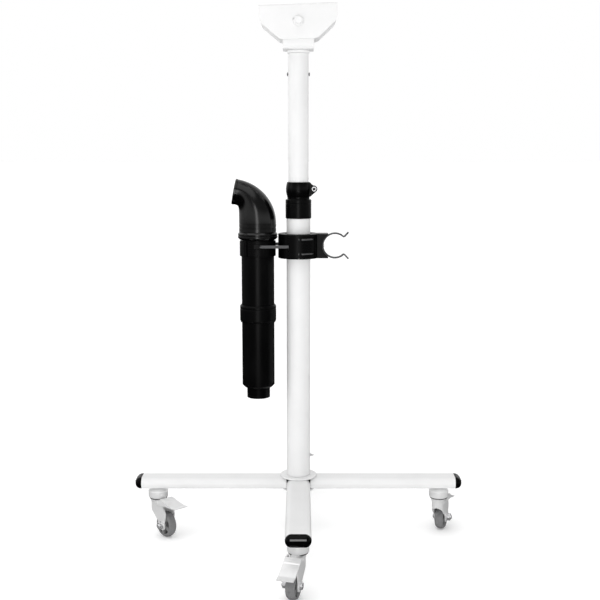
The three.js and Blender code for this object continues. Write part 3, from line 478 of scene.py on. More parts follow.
class Part:
    """A closed shape in the making, in millimetres."""

    def __init__(self, thing: bpy.types.Object) -> None:
        """Wraps a mesh object that sits at the origin."""
        self.thing = thing

    @classmethod
    def skin(cls, points: Sequence[Sequence[float]], faces: Sequence[Sequence[int]]) -> "Part":
        """A shape from its points and faces, with the faces turned outwards.

        Args:
            points: the corners.
            faces: the corners of each face, by number.

        Returns:
            The shape.
        """
        mesh = bpy.data.meshes.new("shape")
        mesh.from_pydata([tuple(p) for p in points], [], [tuple(f) for f in faces])
        work = bmesh.new()
        work.from_mesh(mesh)
        bmesh.ops.remove_doubles(work, verts=work.verts, dist=1e-4)
        bmesh.ops.recalc_face_normals(work, faces=work.faces)
        work.to_mesh(mesh)
        work.free()
        thing = bpy.data.objects.new("shape", mesh)
        bpy.context.scene.collection.objects.link(thing)
        return cls(thing)

    def join(self, how: Join, *others: "Part") -> "Part":
        """Adds, cuts away or keeps what it shares with other shapes, which are used up.

        Args:
            how: what to do.
            *others: the other shapes.

        Returns:
            This shape.
        """
        for other in others:
            modifier = self.thing.modifiers.new("join", "BOOLEAN")
            modifier.operation = how.value
            modifier.solver = "EXACT"
            modifier.object = other.thing
            settle(self.thing)
            other.drop()
        return self

    def add(self, *others: "Part") -> "Part":
        """Joins other shapes on."""
        return self.join(Join.ADD, *others)

    def cut(self, *others: "Part") -> "Part":
        """Cuts other shapes away."""
        return self.join(Join.CUT, *others)

    def keep(self, other: "Part") -> "Part":
        """Keeps what lies in the other shape."""
        return self.join(Join.KEEP, other)

    def bevel(self, width: float, steps: int = 2, angle: float = 38) -> "Part":
        """Rounds the edges that turn more than an angle.

        Args:
            width: how wide the rounding is, in millimetres.
            steps: how many faces it has.
            angle: the least turn of a rounded edge, in degrees.

        Returns:
            This shape.
        """
        modifier = self.thing.modifiers.new("bevel", "BEVEL")
        modifier.width = width
        modifier.segments = steps
        modifier.limit_method = "ANGLE"
        modifier.angle_limit = math.radians(angle)
        modifier.miter_outer = "MITER_ARC"
        settle(self.thing)
        return self

    def moved(self, place: Matrix) -> "Part":
        """Moves the shape by a matrix."""
        self.thing.data.transform(place)
        return self

    def shift(self, x: float = 0, y: float = 0, z: float = 0) -> "Part":
        """Moves the shape along the axes."""
        return self.moved(Matrix.Translation((x, y, z)))

    def copy(self) -> "Part":
        """A second shape like this one."""
        twin = bpy.data.objects.new("shape", self.thing.data.copy())
        bpy.context.scene.collection.objects.link(twin)
        return Part(twin)

    def with_loose(self, *others: "Part") -> "Part":
        """Puts other closed shapes into the same mesh, without cutting.

        Args:
            *others: the other shapes, which are used up.

        Returns:
            This shape.
        """
        work = bmesh.new()
        work.from_mesh(self.thing.data)
        for other in others:
            work.from_mesh(other.thing.data)
            other.drop()
        work.to_mesh(self.thing.data)
        work.free()
        return self

    def drop(self) -> None:
        """Removes the shape."""
        mesh = self.thing.data
        bpy.data.objects.remove(self.thing)
        bpy.data.meshes.remove(mesh)

    def dress(self, name: str, finish: Finish, body: str, *nodes: str) -> bpy.types.Object:
        """Finishes the shape as a piece of the stand.

        Args:
            name: the piece's name.
            finish: its finish.
            body: the body that it moves with.
            *nodes: the frame's nodes that it stands for.

        Returns:
            The finished object.
        """
        thing = self.thing
        thing.name = name
        thing.data.name = name
        thing.data.transform(Matrix.Scale(MM, 4))
        thing.data.shade_smooth()
        thing.data.set_sharp_from_angle(angle=SHARP)
        thing.modifiers.new("normals", "WEIGHTED_NORMAL").keep_sharp = True
        settle(thing)
        thing.data.materials.clear()
        thing.data.materials.append(finish.material())
        for face in thing.data.polygons:
            face.material_index = 0
        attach(thing, body)
        if nodes:
            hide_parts(*nodes)
        LOG.info("%s: %d faces, on %s", name, len(thing.data.polygons), body)
        return thing


def softened(
    outline: Sequence[Point],
    radius: float = 0.0,
    closed: bool = True,
    steps: int = 5,
) -> List[Point]:
    """Rounds the corners of an outline.

    Args:
        outline: its corners as (x, y), or (x, y, radius) for a corner with a radius of its own.
        radius: the radius of the other corners.
        closed: whether its last corner joins its first; the ends of an open one stay sharp.
        steps: the points of one rounding.

    Returns:
        The rounded outline.
    """
    rounded: List[Point] = []
    count = len(outline)
    for i, corner in enumerate(outline):
        here = Vector(corner[:2])
        size = corner[2] if len(corner) > 2 else radius
        at_end = not closed and i in (0, count - 1)
        before = Vector(outline[i - 1][:2]) - here
        after = Vector(outline[(i + 1) % count][:2]) - here
        if at_end or size <= 0 or before.length < 1e-6 or after.length < 1e-6:
            rounded.append(tuple(here))
            continue
        half = before.angle(after) / 2
        back = min(size / max(math.tan(half), 1e-3), 0.48 * before.length, 0.48 * after.length)
        start = here + before.normalized() * back
        end = here + after.normalized() * back
        for k in range(steps + 1):
            t = k / steps
            rounded.append(tuple(start * (1 - t) ** 2 + here * 2 * t * (1 - t) + end * t * t))
    return rounded


def along(axis: Axis, across: float, other: float, height: float) -> Point:
    """A point from its place in a plane and its height along the plane's axis.

    Args:
        axis: the axis; for X the plane is (y, z), for Y it is (x, z), and for Z it is (x, y).
        across: the place's first number.
        other: its second number.
        height: how far along the axis the point is.

    Returns:
        The point as (x, y, z).
    """
    places = {
        Axis.X: (height, across, other),
        Axis.Y: (across, height, other),
        Axis.Z: (across, other, height),
    }
    return places[axis]


def turned(
    profile: Sequence[Point],
    axis: Axis = Axis.Z,
    steps: int = ROUND,
    start: float = 0.0,
    sweep: float = 360.0,
) -> Part:
    """A body of revolution.

    Args:
        profile: its (radius, height) points: from the axis to the axis, or a loop that stays clear of it.
        axis: what it turns about.
        steps: the steps of a full turn.
        start: where a part turn starts, in degrees.
        sweep: how far it goes; less than 360 closes its two ends.

    Returns:
        The shape.
    """
    full = sweep >= 360
    solid = profile[0][0] < 1e-9 and profile[-1][0] < 1e-9
    rings = max(3, round(steps * sweep / 360)) + (0 if full else 1)
    size = len(profile)
    points: List[Point] = []
    for k in range(rings):
        angle = math.radians(start + sweep * k / (rings if full else rings - 1))
        for r, h in profile:
            points.append(along(axis, r * math.cos(angle), r * math.sin(angle), h))
    faces: List[List[int]] = []
    for k in range(rings if full else rings - 1):
        a, b = k * size, ((k + 1) % rings) * size
        for i in range(size - 1 if solid else size):
            j = (i + 1) % size
            faces.append([a + i, b + i, b + j, a + j])
    if not full:
        faces.append(list(range(size)))
        faces.append([(rings - 1) * size + i for i in range(size)])
    return Part.skin(points, faces)


def ring(inner: float, outer: float, low: float, high: float, edge: float = 0.5, **turn: Any) -> Part:
    """A round tube with softened edges.

    Args:
        inner: its inner radius.
        outer: its outer radius.
        low: its lower end.
        high: its upper end.
        edge: the radius of its edges.
        **turn: what turned() takes.

    Returns:
        The shape.
    """
    return turned(softened([(inner, low), (outer, low), (outer, high), (inner, high)], edge), **turn)


def rod(radius: float, low: float, high: float, edge: float = 0.0, **turn: Any) -> Part:
    """A round bar with softened ends."""
    turn.setdefault("steps", SMALL_ROUND)
    return turned(softened([(0, low), (radius, low), (radius, high), (0, high)], edge, False), **turn)


def prism(outline: Sequence[Point], low: float, high: float, axis: Axis) -> Part:
    """An outline given a length along an axis.

    Args:
        outline: its points in the plane that along() names.
        low: where it starts along the axis.
        high: where it ends.
        axis: the axis.

    Returns:
        The shape.
    """
    count = len(outline)
    points = [along(axis, u, v, h) for h in (low, high) for u, v in outline]
    faces = [[i, (i + 1) % count, count + (i + 1) % count, count + i] for i in range(count)]
    faces += [list(range(count)), [count + i for i in range(count)]]
    return Part.skin(points, faces)


def box(low: Point, high: Point) -> Part:
    """A block between two corners."""
    outline = [(low[0], low[1]), (high[0], low[1]), (high[0], high[1]), (low[0], high[1])]
    return prism(outline, low[2], high[2], Axis.Z)


def loft(rings: Sequence[Sequence[Point]], hollow: bool = False) -> Part:
    """A skin over rings with the same number of points.

    Args:
        rings: the rings in order; a hollow one runs out along the outside and back along the inside.
        hollow: whether the last ring joins the first; if not, both end rings are closed.

    Returns:
        The shape.
    """
    size = len(rings[0])
    points = [p for one in rings for p in one]
    faces: List[List[int]] = []
    for k in range(len(rings) if hollow else len(rings) - 1):
        a, b = k * size, ((k + 1) % len(rings)) * size
        faces += [[a + i, a + (i + 1) % size, b + (i + 1) % size, b + i] for i in range(size)]
    if not hollow:
        faces.append(list(range(size)))
        faces.append([(len(rings) - 1) * size + i for i in range(size)])
    return Part.skin(points, faces)


def strip(path: Sequence[Point], steel: float, low: float, high: float) -> Part:
    """Flat stock bent along a path, with its width along Y.

    Args:
        path: the middle of its thickness, as (x, z).
        steel: its thickness.
        low: where its width starts.
        high: where it ends.

    Returns:
        The shape.
    """
    sides: Dict[int, List[Point]] = {1: [], -1: []}
    for i, place in enumerate(path):
        before = Vector(path[max(i - 1, 0)])
        after = Vector(path[min(i + 1, len(path) - 1)])
        run = (after - before).normalized()
        for side, line in sides.items():
            line.append((place[0] - run.y * side * steel / 2, place[1] + run.x * side * steel / 2))
    return prism(sides[1] + sides[-1][::-1], low, high, Axis.Y)


def flat_oval(width: float, height: float, steps: int = 14) -> List[Point]:
    """The outline of a flat oval around the origin: a rectangle with half-round ends.

    Args:
        width: its whole width.
        height: its height, which is also twice the radius of its ends.
        steps: the steps of one half-round.

    Returns:
        The outline.
    """
    r = height / 2
    reach = width / 2 - r
    outline: List[Point] = []
    for side in (1, -1):
        for k in range(steps + 1):
            angle = -math.pi / 2 + math.pi * k / steps
            outline.append((side * (reach + r * math.cos(angle)), side * r * math.sin(angle)))
    return outline


def six_corners(flats: float) -> List[Point]:
    """The corners of a hexagon around the origin, from its size across the flats."""
    reach = flats / math.sqrt(3)
    return [(reach * math.cos(i * math.pi / 3), reach * math.sin(i * math.pi / 3)) for i in range(6)]


def hexagon(flats: float, low: float, high: float, axis: Axis, crown: Hand) -> Part:
    """A hexagon head or nut with its corners turned off.

    Args:
        flats: its size across the flats.
        low: where it starts along the axis.
        high: where it ends.
        axis: the axis.
        crown: the end whose corners are turned off.

    Returns:
        The shape.
    """
    clear = flats / math.sqrt(3) + PAST
    drop = 0.18 * (high - low) + 0.4
    profile = [(0, low), (clear, low), (clear, high - drop), (flats / 2 - 0.3, high), (0, high)]
    if crown is Hand.MINUS:
        profile = [(r, low + high - h) for r, h in profile]
    cone = turned(profile, axis, SMALL_ROUND)
    return prism(six_corners(flats), low, high, axis).keep(cone).bevel(0.2, 1)


# ---------------------------------------------------------------- repeats
class Pattern:
    """A geometry tree that repeats a shape. It ends in Realize Instances and Set Material."""

    def __init__(self, name: str) -> None:
        """Starts the tree with its source shape and its material as inputs.

        Args:
            name: the tree's name.
        """
        self.tree = bpy.data.node_groups.new(name, "GeometryNodeTree")
        self.graph = Graph(self.tree)
        self.tree.interface.new_socket("Geometry", in_out="OUTPUT", socket_type="NodeSocketGeometry")
        self.sockets: Dict[str, str] = {}
        self.input("Source", "NodeSocketObject")
        self.input("Finish", "NodeSocketMaterial")
        self.input("Count", "NodeSocketInt")

    def input(self, name: str, kind: str) -> None:
        """Adds a named input."""
        made = self.tree.interface.new_socket(name, in_out="INPUT", socket_type=kind)
        self.sockets[name] = made.identifier

    def read(self, name: str) -> Wire:
        """The value of a named input."""
        return self.graph.node("NodeGroupInput", output=name)

    def close(self, points: Wire, rotation: Optional[Wire] = None) -> None:
        """Puts the source on points and closes the tree.

        Args:
            points: where the copies go.
            rotation: how each is turned.
        """
        source = self.graph.node("GeometryNodeObjectInfo", {}, {"Object": self.read("Source")}, "Geometry")
        placed: Dict[Union[str, int], Any] = {"Points": points, "Instance": source}
        if rotation is not None:
            placed["Rotation"] = rotation
        copies = self.graph.node("GeometryNodeInstanceOnPoints", {}, placed)
        real = self.graph.node("GeometryNodeRealizeInstances", {}, {"Geometry": copies})
        dressed = {"Geometry": real, "Material": self.read("Finish")}
        last = self.graph.node("GeometryNodeSetMaterial", {}, dressed)
        end = self.tree.nodes.new("NodeGroupOutput")
        self.tree.links.new(last.socket, end.inputs["Geometry"])

    def run(self, source: Part, finish: Finish, **values: Any) -> Part:
        """Repeats a shape, which is used up.

        Args:
            source: the shape.
            finish: the finish that the copies get.
            **values: the tree's other inputs by name.

        Returns:
            All copies as one shape.
        """
        mesh = bpy.data.meshes.new("repeat")
        thing = bpy.data.objects.new("repeat", mesh)
        bpy.context.scene.collection.objects.link(thing)
        modifier = thing.modifiers.new("repeat", "NODES")
        modifier.node_group = self.tree
        modifier[self.sockets["Source"]] = source.thing
        modifier[self.sockets["Finish"]] = finish.material()
        for name, value in values.items():
            modifier[self.sockets[name]] = value
        settle(thing)
        source.drop()
        return Part(thing)


class Row(Pattern):
    """Copies along a line, each a fixed step from the last."""

    def __init__(self) -> None:
        """Builds the tree."""
        super().__init__("row_of_copies")
        self.input("Step", "NodeSocketVector")
        places = {"Count": self.read("Count"), "Offset": self.read("Step")}
        self.close(self.graph.node("GeometryNodeMeshLine", {"mode": "OFFSET"}, places))


class Wreath(Pattern):
    """Copies around the Y axis, at equal angles."""

    def __init__(self) -> None:
        """Builds the tree."""
        super().__init__("wreath_of_copies")
        self.input("First", "NodeSocketFloat")
        places = {"Count": self.read("Count"), "Offset": (0.0, 0.0, 0.0)}
        points = self.graph.node("GeometryNodeMeshLine", {"mode": "OFFSET"}, places)
        index = self.graph.node("GeometryNodeInputIndex")
        angle = index * math.tau / self.read("Count") + self.read("First")
        turn = self.graph.node("ShaderNodeCombineXYZ", {}, {"Y": angle})
        self.close(points, turn)


# ---------------------------------------------------------------- the frame's own places
@dataclass(frozen=True)
class Extent:
    """The box of a node of the frame, in millimetres."""

    low: Vector
    high: Vector

    @classmethod
    def of(cls, node: str) -> "Extent":
        """The box of a named node."""
        low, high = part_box(node)
        return cls(low / MM, high / MM)

    @property
    def middle(self) -> Vector:
        """The box's centre."""
        return (self.low + self.high) / 2

    @property
    def size(self) -> Vector:
        """The box's sides."""
        return self.high - self.low


def joint(name: str) -> Dict[str, Any]:
    """A joint of the frame, by name."""
    return next(one for one in frame["joints"] if one["name"] == name)


def joint_place(name: str) -> Vector:
    """The point that a joint of the frame turns about, in millimetres."""
    return Vector(joint(name)["pos_m"]) / MM


# ---------------------------------------------------------------- hub and legs
@dataclass
class Hub:
    """The two plates and the bolt that hold the crossed legs to the mast's foot."""

    plate_edge: float = 0.9
    bore_inset: float = 1.8
    bolt_flats: float = 19.0
    bolt_radius: float = 6.0
    # Sizes of the dark wedges in the leg corners, which are painted shade.
    shade_top: Tuple[float, float] = (18.6, 23.7)
    shade_foot: Tuple[float, float] = (21.7, 22.5)
    shade_depth: float = 8.5

    def build(self) -> None:
        """Makes the hub's pieces."""
        top = Extent.of("hub_top_plate")
        bore = Extent.of("lower_mast_tube").size.x / 2 - self.bore_inset
        plate = ring(bore, top.size.x / 2, top.low.z, top.high.z, self.plate_edge)
        plate.dress("hub_disc", WHITE, "base", "hub_top_plate")

        low = Extent.of("hub_lower_plate")
        hole = self.bolt_radius + GAP
        washer = ring(hole, low.size.x / 2, low.low.z, low.high.z, self.plate_edge)
        washer.dress("hub_clamp_plate", WHITE, "base", "hub_lower_plate")

        bolt = Extent.of("hub_bolt")
        head_top = low.low.z - GAP
        head = hexagon(self.bolt_flats, bolt.low.z, head_top, Axis.Z, Hand.MINUS)
        head.add(rod(self.bolt_radius, head_top - PAST, bolt.high.z, 0.6))
        head.dress("hub_centre_bolt", ZINC, "base", "hub_bolt")
        # Dark wedges in the corners between the legs: painted shade.
        self.corner_shade_wedges(top.low.z - GAP)

    def corner_shade_wedges(self, high: float) -> None:
        """Makes dark wedges in the corners between the legs, under the disc: painted shade for the shadowed gap
        where the legs meet.

        Args:
            high: the height of their upper faces.
        """
        # Each wedge is a dark block of painted shade, not a real part.
        shade_wedges = []
        for x in (-1, 1):
            for y in (-1, 1):
                rings = []
                for z, (near, far) in ((high - self.shade_depth, self.shade_foot), (high, self.shade_top)):
                    (x0, x1), (y0, y1) = (sorted((side * near, side * far)) for side in (x, y))
                    rings.append([(x0, y0, z), (x1, y0, z), (x1, y1, z), (x0, y1, z)])
                shade_wedges.append(loft(rings))
        shade_wedges[0].with_loose(*shade_wedges[1:]).dress("hub_corner_seals", BRAKE_RUBBER_AND_SHADE, "base")


@dataclass
class Leg:
    """One flat-oval leg with its domed cap. It is drawn along +X and turned to its corner."""

    corner: Corner
    angle: float
    wall: float = 1.5
    edge: float = 0.35
    cap_rim: float = 1.4
    cap_fit: float = 0.4
    cap_plug: float = 12.0
    dome_inset: float = 10.2
    dome_steps: int = 9
    bar_radius: float = 1.7
    bar_edge: float = 1.2
    bar_half: float = 14.0
    bar_inset: float = 1.5
    bar_lift: float = 4.4

    def place(self) -> Matrix:
        """The matrix that turns the leg to its corner."""
        return Matrix.Rotation(self.angle, 4, "Z")

    def build(self) -> None:
        """Makes the tube and the cap."""
        reference = Extent.of("leg_right")
        width, height = reference.size.y, reference.size.z
        middle = reference.middle.z
        inner_end, outer_end = reference.low.x, reference.high.x

        def section(x: float, inset: float) -> List[Point]:
            """The leg's flat oval at a place along it, drawn in by an inset."""
            oval = flat_oval(width - 2 * inset, height - 2 * inset)
            return [(x, u, middle + v) for u, v in oval]

        edge, wall = self.edge, self.wall
        rings = [
            section(inner_end, edge),
            section(inner_end + edge, 0),
            section(outer_end - edge, 0),
            section(outer_end, edge),
            section(outer_end, wall - edge),
            section(outer_end - edge, wall),
            section(inner_end + edge, wall),
            section(inner_end, wall - edge),
        ]
        name = self.corner.value
        tube = loft(rings, hollow=True).moved(self.place())
        tube.dress(f"{name}_leg_tube", WHITE, "base", f"leg_{name}")

        cap_end = Extent.of("leg_cap_right").high.x
        start = outer_end + GAP
        fit = wall + self.cap_fit
        skin = [
            section(start - self.cap_plug, fit + 1),
            section(start - self.cap_plug + 3, fit),
            section(start, fit),
            section(start, 0.5),
            section(start + 0.5, 0),
            section(start + self.cap_rim, 0),
        ]
        bulge = cap_end - start - self.cap_rim
        for k in range(1, self.dome_steps + 1):
            turn = k / self.dome_steps * math.pi / 2
            share = 1 - math.cos(turn) ** 0.92 if k < self.dome_steps else 1.0
            skin.append(section(start + self.cap_rim + bulge * math.sin(turn), self.dome_inset * share))
        cap = loft(skin).moved(self.place())
        cap.dress(f"{name}_end_cap", CAP_BLACK, "base", f"leg_cap_{name}")
        # A rib across the cap's dome in a lighter grey: painted highlight for the bright line that light puts on
        # the dome.
        bar = rod(self.bar_radius, -self.bar_half, self.bar_half, self.bar_edge, axis=Axis.Y)
        bar.shift(cap_end - self.bar_inset, 0, middle + self.bar_lift)
        bar.moved(self.place()).dress(f"{name}_cap_bar", CAP_HIGHLIGHT, "base")


# ---------------------------------------------------------------- casters
@dataclass
class Caster:
    """One braked swivel caster. It is drawn with its swivel axis at the origin, trailing towards +X."""

    corner: Corner
    wheel_half: float = 8.5
    cheek_gap: float = 1.0
    cheek: float = 2.2
    race_radius: float = 19.3
    crown_radius: float = 18.9
    spokes: int = 5
    pedal_half: float = 14.9
    pedal_press: float = 13.0
    notch: float = 12.2
    notch_play: float = 0.6
    axle_flats: float = 13.0
    axle_socket: float = 5.2

    def __post_init__(self) -> None:
        """Reads the caster's place and sizes from the frame."""
        name = self.corner.value
        self.swivel = joint_place(f"caster_swivel_{name}")
        self.hub = joint_place(f"wheel_spin_{name}")
        pin = joint_place(f"brake_press_{name}")
        run = (self.hub - self.swivel).to_2d()
        self.trail = run.length
        self.turn = math.atan2(run.y, run.x)
        self.radius = self.hub.z
        self.under = Extent.of("leg_right").low.z
        self.pin = Vector(((pin - self.swivel).to_2d().length, 0, pin.z))
        travel = joint(f"brake_press_{name}")["range_deg"][1]
        lift = Matrix.Rotation(math.radians(self.pedal_press - travel), 4, "Y")
        self.tipped = Matrix.Translation(self.pin) @ lift @ Matrix.Translation(-self.pin)
        self.cheek_in = self.wheel_half + self.cheek_gap
        self.cheek_out = self.cheek_in + self.cheek

    def place(self) -> Matrix:
        """The matrix that brings the caster to its corner."""
        return Matrix.Translation((self.swivel.x, self.swivel.y, 0)) @ Matrix.Rotation(self.turn, 4, "Z")

    def dress(self, part: Part, name: str, finish: Finish, body: str, *nodes: str) -> None:
        """Brings a shape to the corner and finishes it.

        Args:
            part: the shape.
            name: the piece's name without its corner.
            finish: its finish.
            body: the body that it moves with, without the corner.
            *nodes: the frame's nodes that it stands for, without the corner.
        """
        corner = self.corner.value
        carrier = body if body == "base" else f"{body}_{corner}"
        full = [f"{node}_{corner}" for node in nodes]
        part.moved(self.place()).dress(f"{corner}_{name}", finish, carrier, *full)

    def build(self, wreath: Wreath) -> None:
        """Makes the caster's pieces.

        Args:
            wreath: the tree that repeats things around an axle.
        """
        self.dress(self.race(), "caster_race", ZINC, "base", "caster_stem")
        self.dress(self.fork(), "caster_frame", ZINC, "fork", "caster_fork")
        # A dark ring in the race groove: painted shade.
        self.dress(self.race_groove_shade(), "ball_race_gap", BRAKE_RUBBER_AND_SHADE, "fork")
        self.dress(self.axle(), "axle_bolt", CHROME, "fork", "axle")
        self.dress(self.tyre(wreath), "caster_wheel", TREAD, "wheel", "wheel")
        # The pocket web in a darker tread: painted shade.
        self.dress(self.pocket_shade(), "wheel_core", TREAD_SHADE, "wheel")
        self.dress(self.pedal().moved(self.tipped), "pedal_plate", ZINC, "pedal", "brake_pedal")
        self.dress(self.shoe().moved(self.tipped), "brake_shoe", BRAKE_RUBBER_AND_SHADE, "pedal")

    def race(self) -> Part:
        """The domed upper race with the stem above it and the kingpin below.

        Returns:
            The shape.
        """
        u, r = self.under, self.race_radius
        return turned(
            softened(
                [
                    (0, u + 15),
                    (5, u + 15, 0.5),
                    (5, u - 0.3),
                    (9.6, u - 0.3, 0.3),
                    (9.9, u - 1.6, 0.8),
                    (12.4, u - 2.0, 1.6),
                    (r, u - 7.2, 1.8),
                    (r, u - 8.9, 0.6),
                    (r - 1.6, u - 8.9, 0.4),
                    (6, u - 8.9),
                    (6, u - 25.1),
                    (8.4, u - 25.1, 0.4),
                    (8.4, u - 27, 0.8),
                    (0, u - 27),
                ],
                0,
                False,
            ),
            steps=64,
        )

    def crown_ring(self, z: float, radius: float, blend: float, inset: float = 0.0) -> List[Point]:
        """A level ring of the fork, between a circle and the U of its two cheeks.

        Args:
            z: its height.
            radius: the circle's radius.
            blend: 0 for the circle, 1 for the cheeks.
            inset: how far the ring is drawn in.

        Returns:
            Its points.
        """
        half = self.cheek_out - inset
        back = -15.6 + inset + half
        front = 60.0
        points: List[Point] = []
        for i in range(72):
            angle = math.tau * i / 72
            c, s = math.cos(angle), math.sin(angle)
            reach = half / max(abs(s), 1e-6)
            x = reach * c
            if x < back or x > front:
                centre = back if x < back else front
                inside = max((centre * c) ** 2 - centre**2 + half**2, 0.0)
                reach = centre * c + math.sqrt(inside)
            circle = radius - inset
            points.append(
                (
                    (1 - blend) * circle * c + blend * reach * c,
                    (1 - blend) * circle * s + blend * reach * s,
                    z,
                )
            )
        return points

    def fork(self) -> Part:
        """The pressed fork: a round crown that runs down into two cheeks with the axle's eyes.

        Returns:
            The shape.
        """
        u, eye, axle, r = self.under, 9.5, self.radius, self.crown_radius
        rings = [
            self.crown_ring(u - 9.3, r - 0.8, 0),
            self.crown_ring(u - 9.9, r - 0.2, 0),
            self.crown_ring(u - 11.0, r, 0),
            self.crown_ring(u - 17.6, r, 0),
            self.crown_ring(u - 19.2, r - 0.3, 0),
            self.crown_ring(u - 20.0, r - 1.4, 0),
            self.crown_ring(u - 20.4, r - 2.6, 0.05),
        ]
        for k in range(1, 8):
            t = k / 7
            rings.append(self.crown_ring(u - 20.4 - 11 * t, r - 2.6, 0.05 + 0.95 * t * t * (3 - 2 * t)))
        rings.append(self.crown_ring(axle - 2 * eye, r, 1))
        outside = loft(rings)
        inside = loft(
            [
                self.crown_ring(u - 25.4, r, 1, self.cheek),
                self.crown_ring(axle - 3 * eye, r, 1, self.cheek),
            ]
        )
        trail = self.trail
        side = softened(
            [
                (-20, u - 8),
                (-20, u - 36, 26),
                (trail - eye - 1, axle + 4, 14),
                (trail - eye, axle - eye, 9),
                (trail + eye, axle - eye, 9),
                (trail + eye, axle + 6, 8),
                (trail + eye + 4, axle + 25, 10),
                (27, u - 27, 5),
                (19, u - 8),
            ],
            steps=8,
        )
        fork = outside.cut(inside).keep(prism(side, -30, 30, Axis.Y))
        fork.cut(
            rod(6.3, u - 40, u, axis=Axis.Z),
            rod(4.3, -30, 30, axis=Axis.Y).shift(trail, 0, axle),
        )
        fork.bevel(0.45, 2)
        dot = rod(1.3, -0.35, 0.35, 0.3, axis=Axis.Y, steps=16)
        dots = [
            dot.copy().shift(x, side * (self.cheek_out + 0.1), u - 33)
            for x in (-3, 4)
            for side in (-1, 1)
        ]
        dot.drop()
        boss = turned(softened([(4.4, 0), (7.6, 0), (7.0, 0.7), (4.4, 0.7)], 0.2), Axis.Y, SMALL_ROUND)
        boss.shift(trail, self.cheek_out - 0.1, axle)
        twin = boss.copy().moved(Matrix.Scale(-1, 4, (0, 1, 0)))
        twin.thing.data.flip_normals()
        return fork.with_loose(*dots, boss, twin)

    def race_groove_shade(self) -> Part:
        """A dark ring in the groove under the crown's rolled edge: painted shade for the shadowed groove."""
        top = self.under - 20.7
        return ring(8.0, self.crown_radius - 1.6, top - 1.3, top, 0.4, steps=64)

    def axle(self) -> Part:
        """The axle bolt with its washers and nut.

        Returns:
            The shape.
        """
        out = self.cheek_out + 1.0
        profile = [(0, out + 1.0), (6.4, out + 1.0, 0.3), (6.2, out + 3.4, 1.0), (0, out + 3.4)]
        head = turned(softened(profile, 0, False), Axis.Y, SMALL_ROUND)
        head.cut(prism(six_corners(self.axle_socket), out + 1.6, out + 5, Axis.Y)).bevel(0.2, 1)
        nut = hexagon(self.axle_flats, -out - 6.2, -out - 1.2, Axis.Y, Hand.MINUS)
        shank = rod(4.0, -out - 8.2, out + 2, 0.7, axis=Axis.Y)
        washers = [
            ring(4.2, 7.6, low, low + 1.0, 0.25, axis=Axis.Y, steps=SMALL_ROUND)
            for low in (out, -out - 1.1)
        ]
        return head.with_loose(nut, shank, *washers).shift(self.trail, 0, self.radius)

    def tyre(self, wreath: Wreath) -> Part:
        """The moulded wheel: tread, rim, hub and spokes.

        Args:
            wreath: the tree that repeats the spokes.

        Returns:
            The shape.
        """
        r, w = self.radius, self.wheel_half
        rim = turned(
            softened(
                [
                    (18.4, -w + 1.2, 0.5),
                    (19.6, -w + 0.3, 0.5),
                    (r - 3.6, -w, 1.2),
                    (r - 0.9, -w + 3.2, 2.2),
                    (r, -1.5, 3.0),
                    (r, 1.5, 3.0),
                    (r - 0.9, w - 3.2, 2.2),
                    (r - 3.6, w, 1.2),
                    (19.6, w - 0.3, 0.5),
                    (18.4, w - 1.2, 0.5),
                ]
            ),
            Axis.Y,
            80,
        )
        hub = ring(4.6, 8.6, -w, w, 0.6, axis=Axis.Y, steps=SMALL_ROUND)
        blade = softened([(7.6, -2.9), (19.0, -4.4), (19.0, 4.4), (7.6, 2.9)], 0.2)
        spoke = prism(blade, -w + 0.6, w - 0.6, Axis.Y).bevel(0.4, 2)
        arms = wreath.run(spoke, TREAD, Count=self.spokes, First=0.35)
        return rim.with_loose(hub, arms).shift(self.trail, 0, self.radius)

    def pocket_shade(self) -> Part:
        """The web at the bottom of the wheel's pockets, in a darker copy of the tread rubber: painted shade for
        the deep pockets.
        """
        web = ring(8.3, 18.7, -2.6, 2.6, 0.4, axis=Axis.Y, steps=SMALL_ROUND)
        return web.shift(self.trail, 0, self.radius)

    def pedal(self) -> Part:
        """The brake pedal: a plate with a pressed step, a flared tip, two folded flanges and two ears.

        Returns:
            The shape.
        """
        x, z, half = self.pin.x, self.pin.z, self.pedal_half
        line = [
            (x + 6.6, z + 3.6),
            (x + 10, z + 5.2, 3),
            (x + 21, z + 0.4, 1.5),
            (x + 23, z - 1.6, 1.5),
            (x + 49, z - 13.4, 6),
            (x + 59.4, z - 15.6),
        ]
        plate = strip(softened(line, closed=False, steps=6), 1.7, -half, half)
        ear = softened(
            [
                (x - 5.5, z + 5.0, 5),
                (x - 5.5, z - 5.5, 5),
                (x + 7, z - 6.2, 5),
                (x + 30, z - 9.6, 8),
                (x + 49, z - 15.0, 3),
                (x + 48, z - 12.6, 1),
                (x + 22, z - 0.6, 1),
                (x + 11, z + 4.2, 1),
                (x + 6, z + 4.6, 2),
            ],
            steps=6,
        )
        inner = half - 1.7
        for low, high in ((-half, -inner), (inner, half)):
            plate.add(prism(ear, low, high, Axis.Y))
        between = self.cheek_out + self.notch_play
        plate.cut(
            rod(3.25, -half - PAST, half + PAST, axis=Axis.Y).shift(x, 0, z),
            rod(self.notch, -between, between, axis=Axis.Y).shift(x, 0, z),
        )
        plate.bevel(0.5, 3)
        pins = [
            rod(4.4, low, low + 1.0, 0.5, axis=Axis.Y).shift(x, 0, z)
            for low in (half + 0.2, -half - 1.2)
        ]
        return plate.with_loose(*pins)

    def shoe(self) -> Part:
        """The rubber block under the pedal that presses on the tread.

        Returns:
            The shape.
        """
        x, z = self.pin.x, self.pin.z
        corners = [(x + 20, z - 3.4), (x + 31, z - 8.0), (x + 28, z - 13.6), (x + 21, z - 12.4)]
        return prism(softened(corners, 1.4), -6, 6, Axis.Y).bevel(0.6, 2)


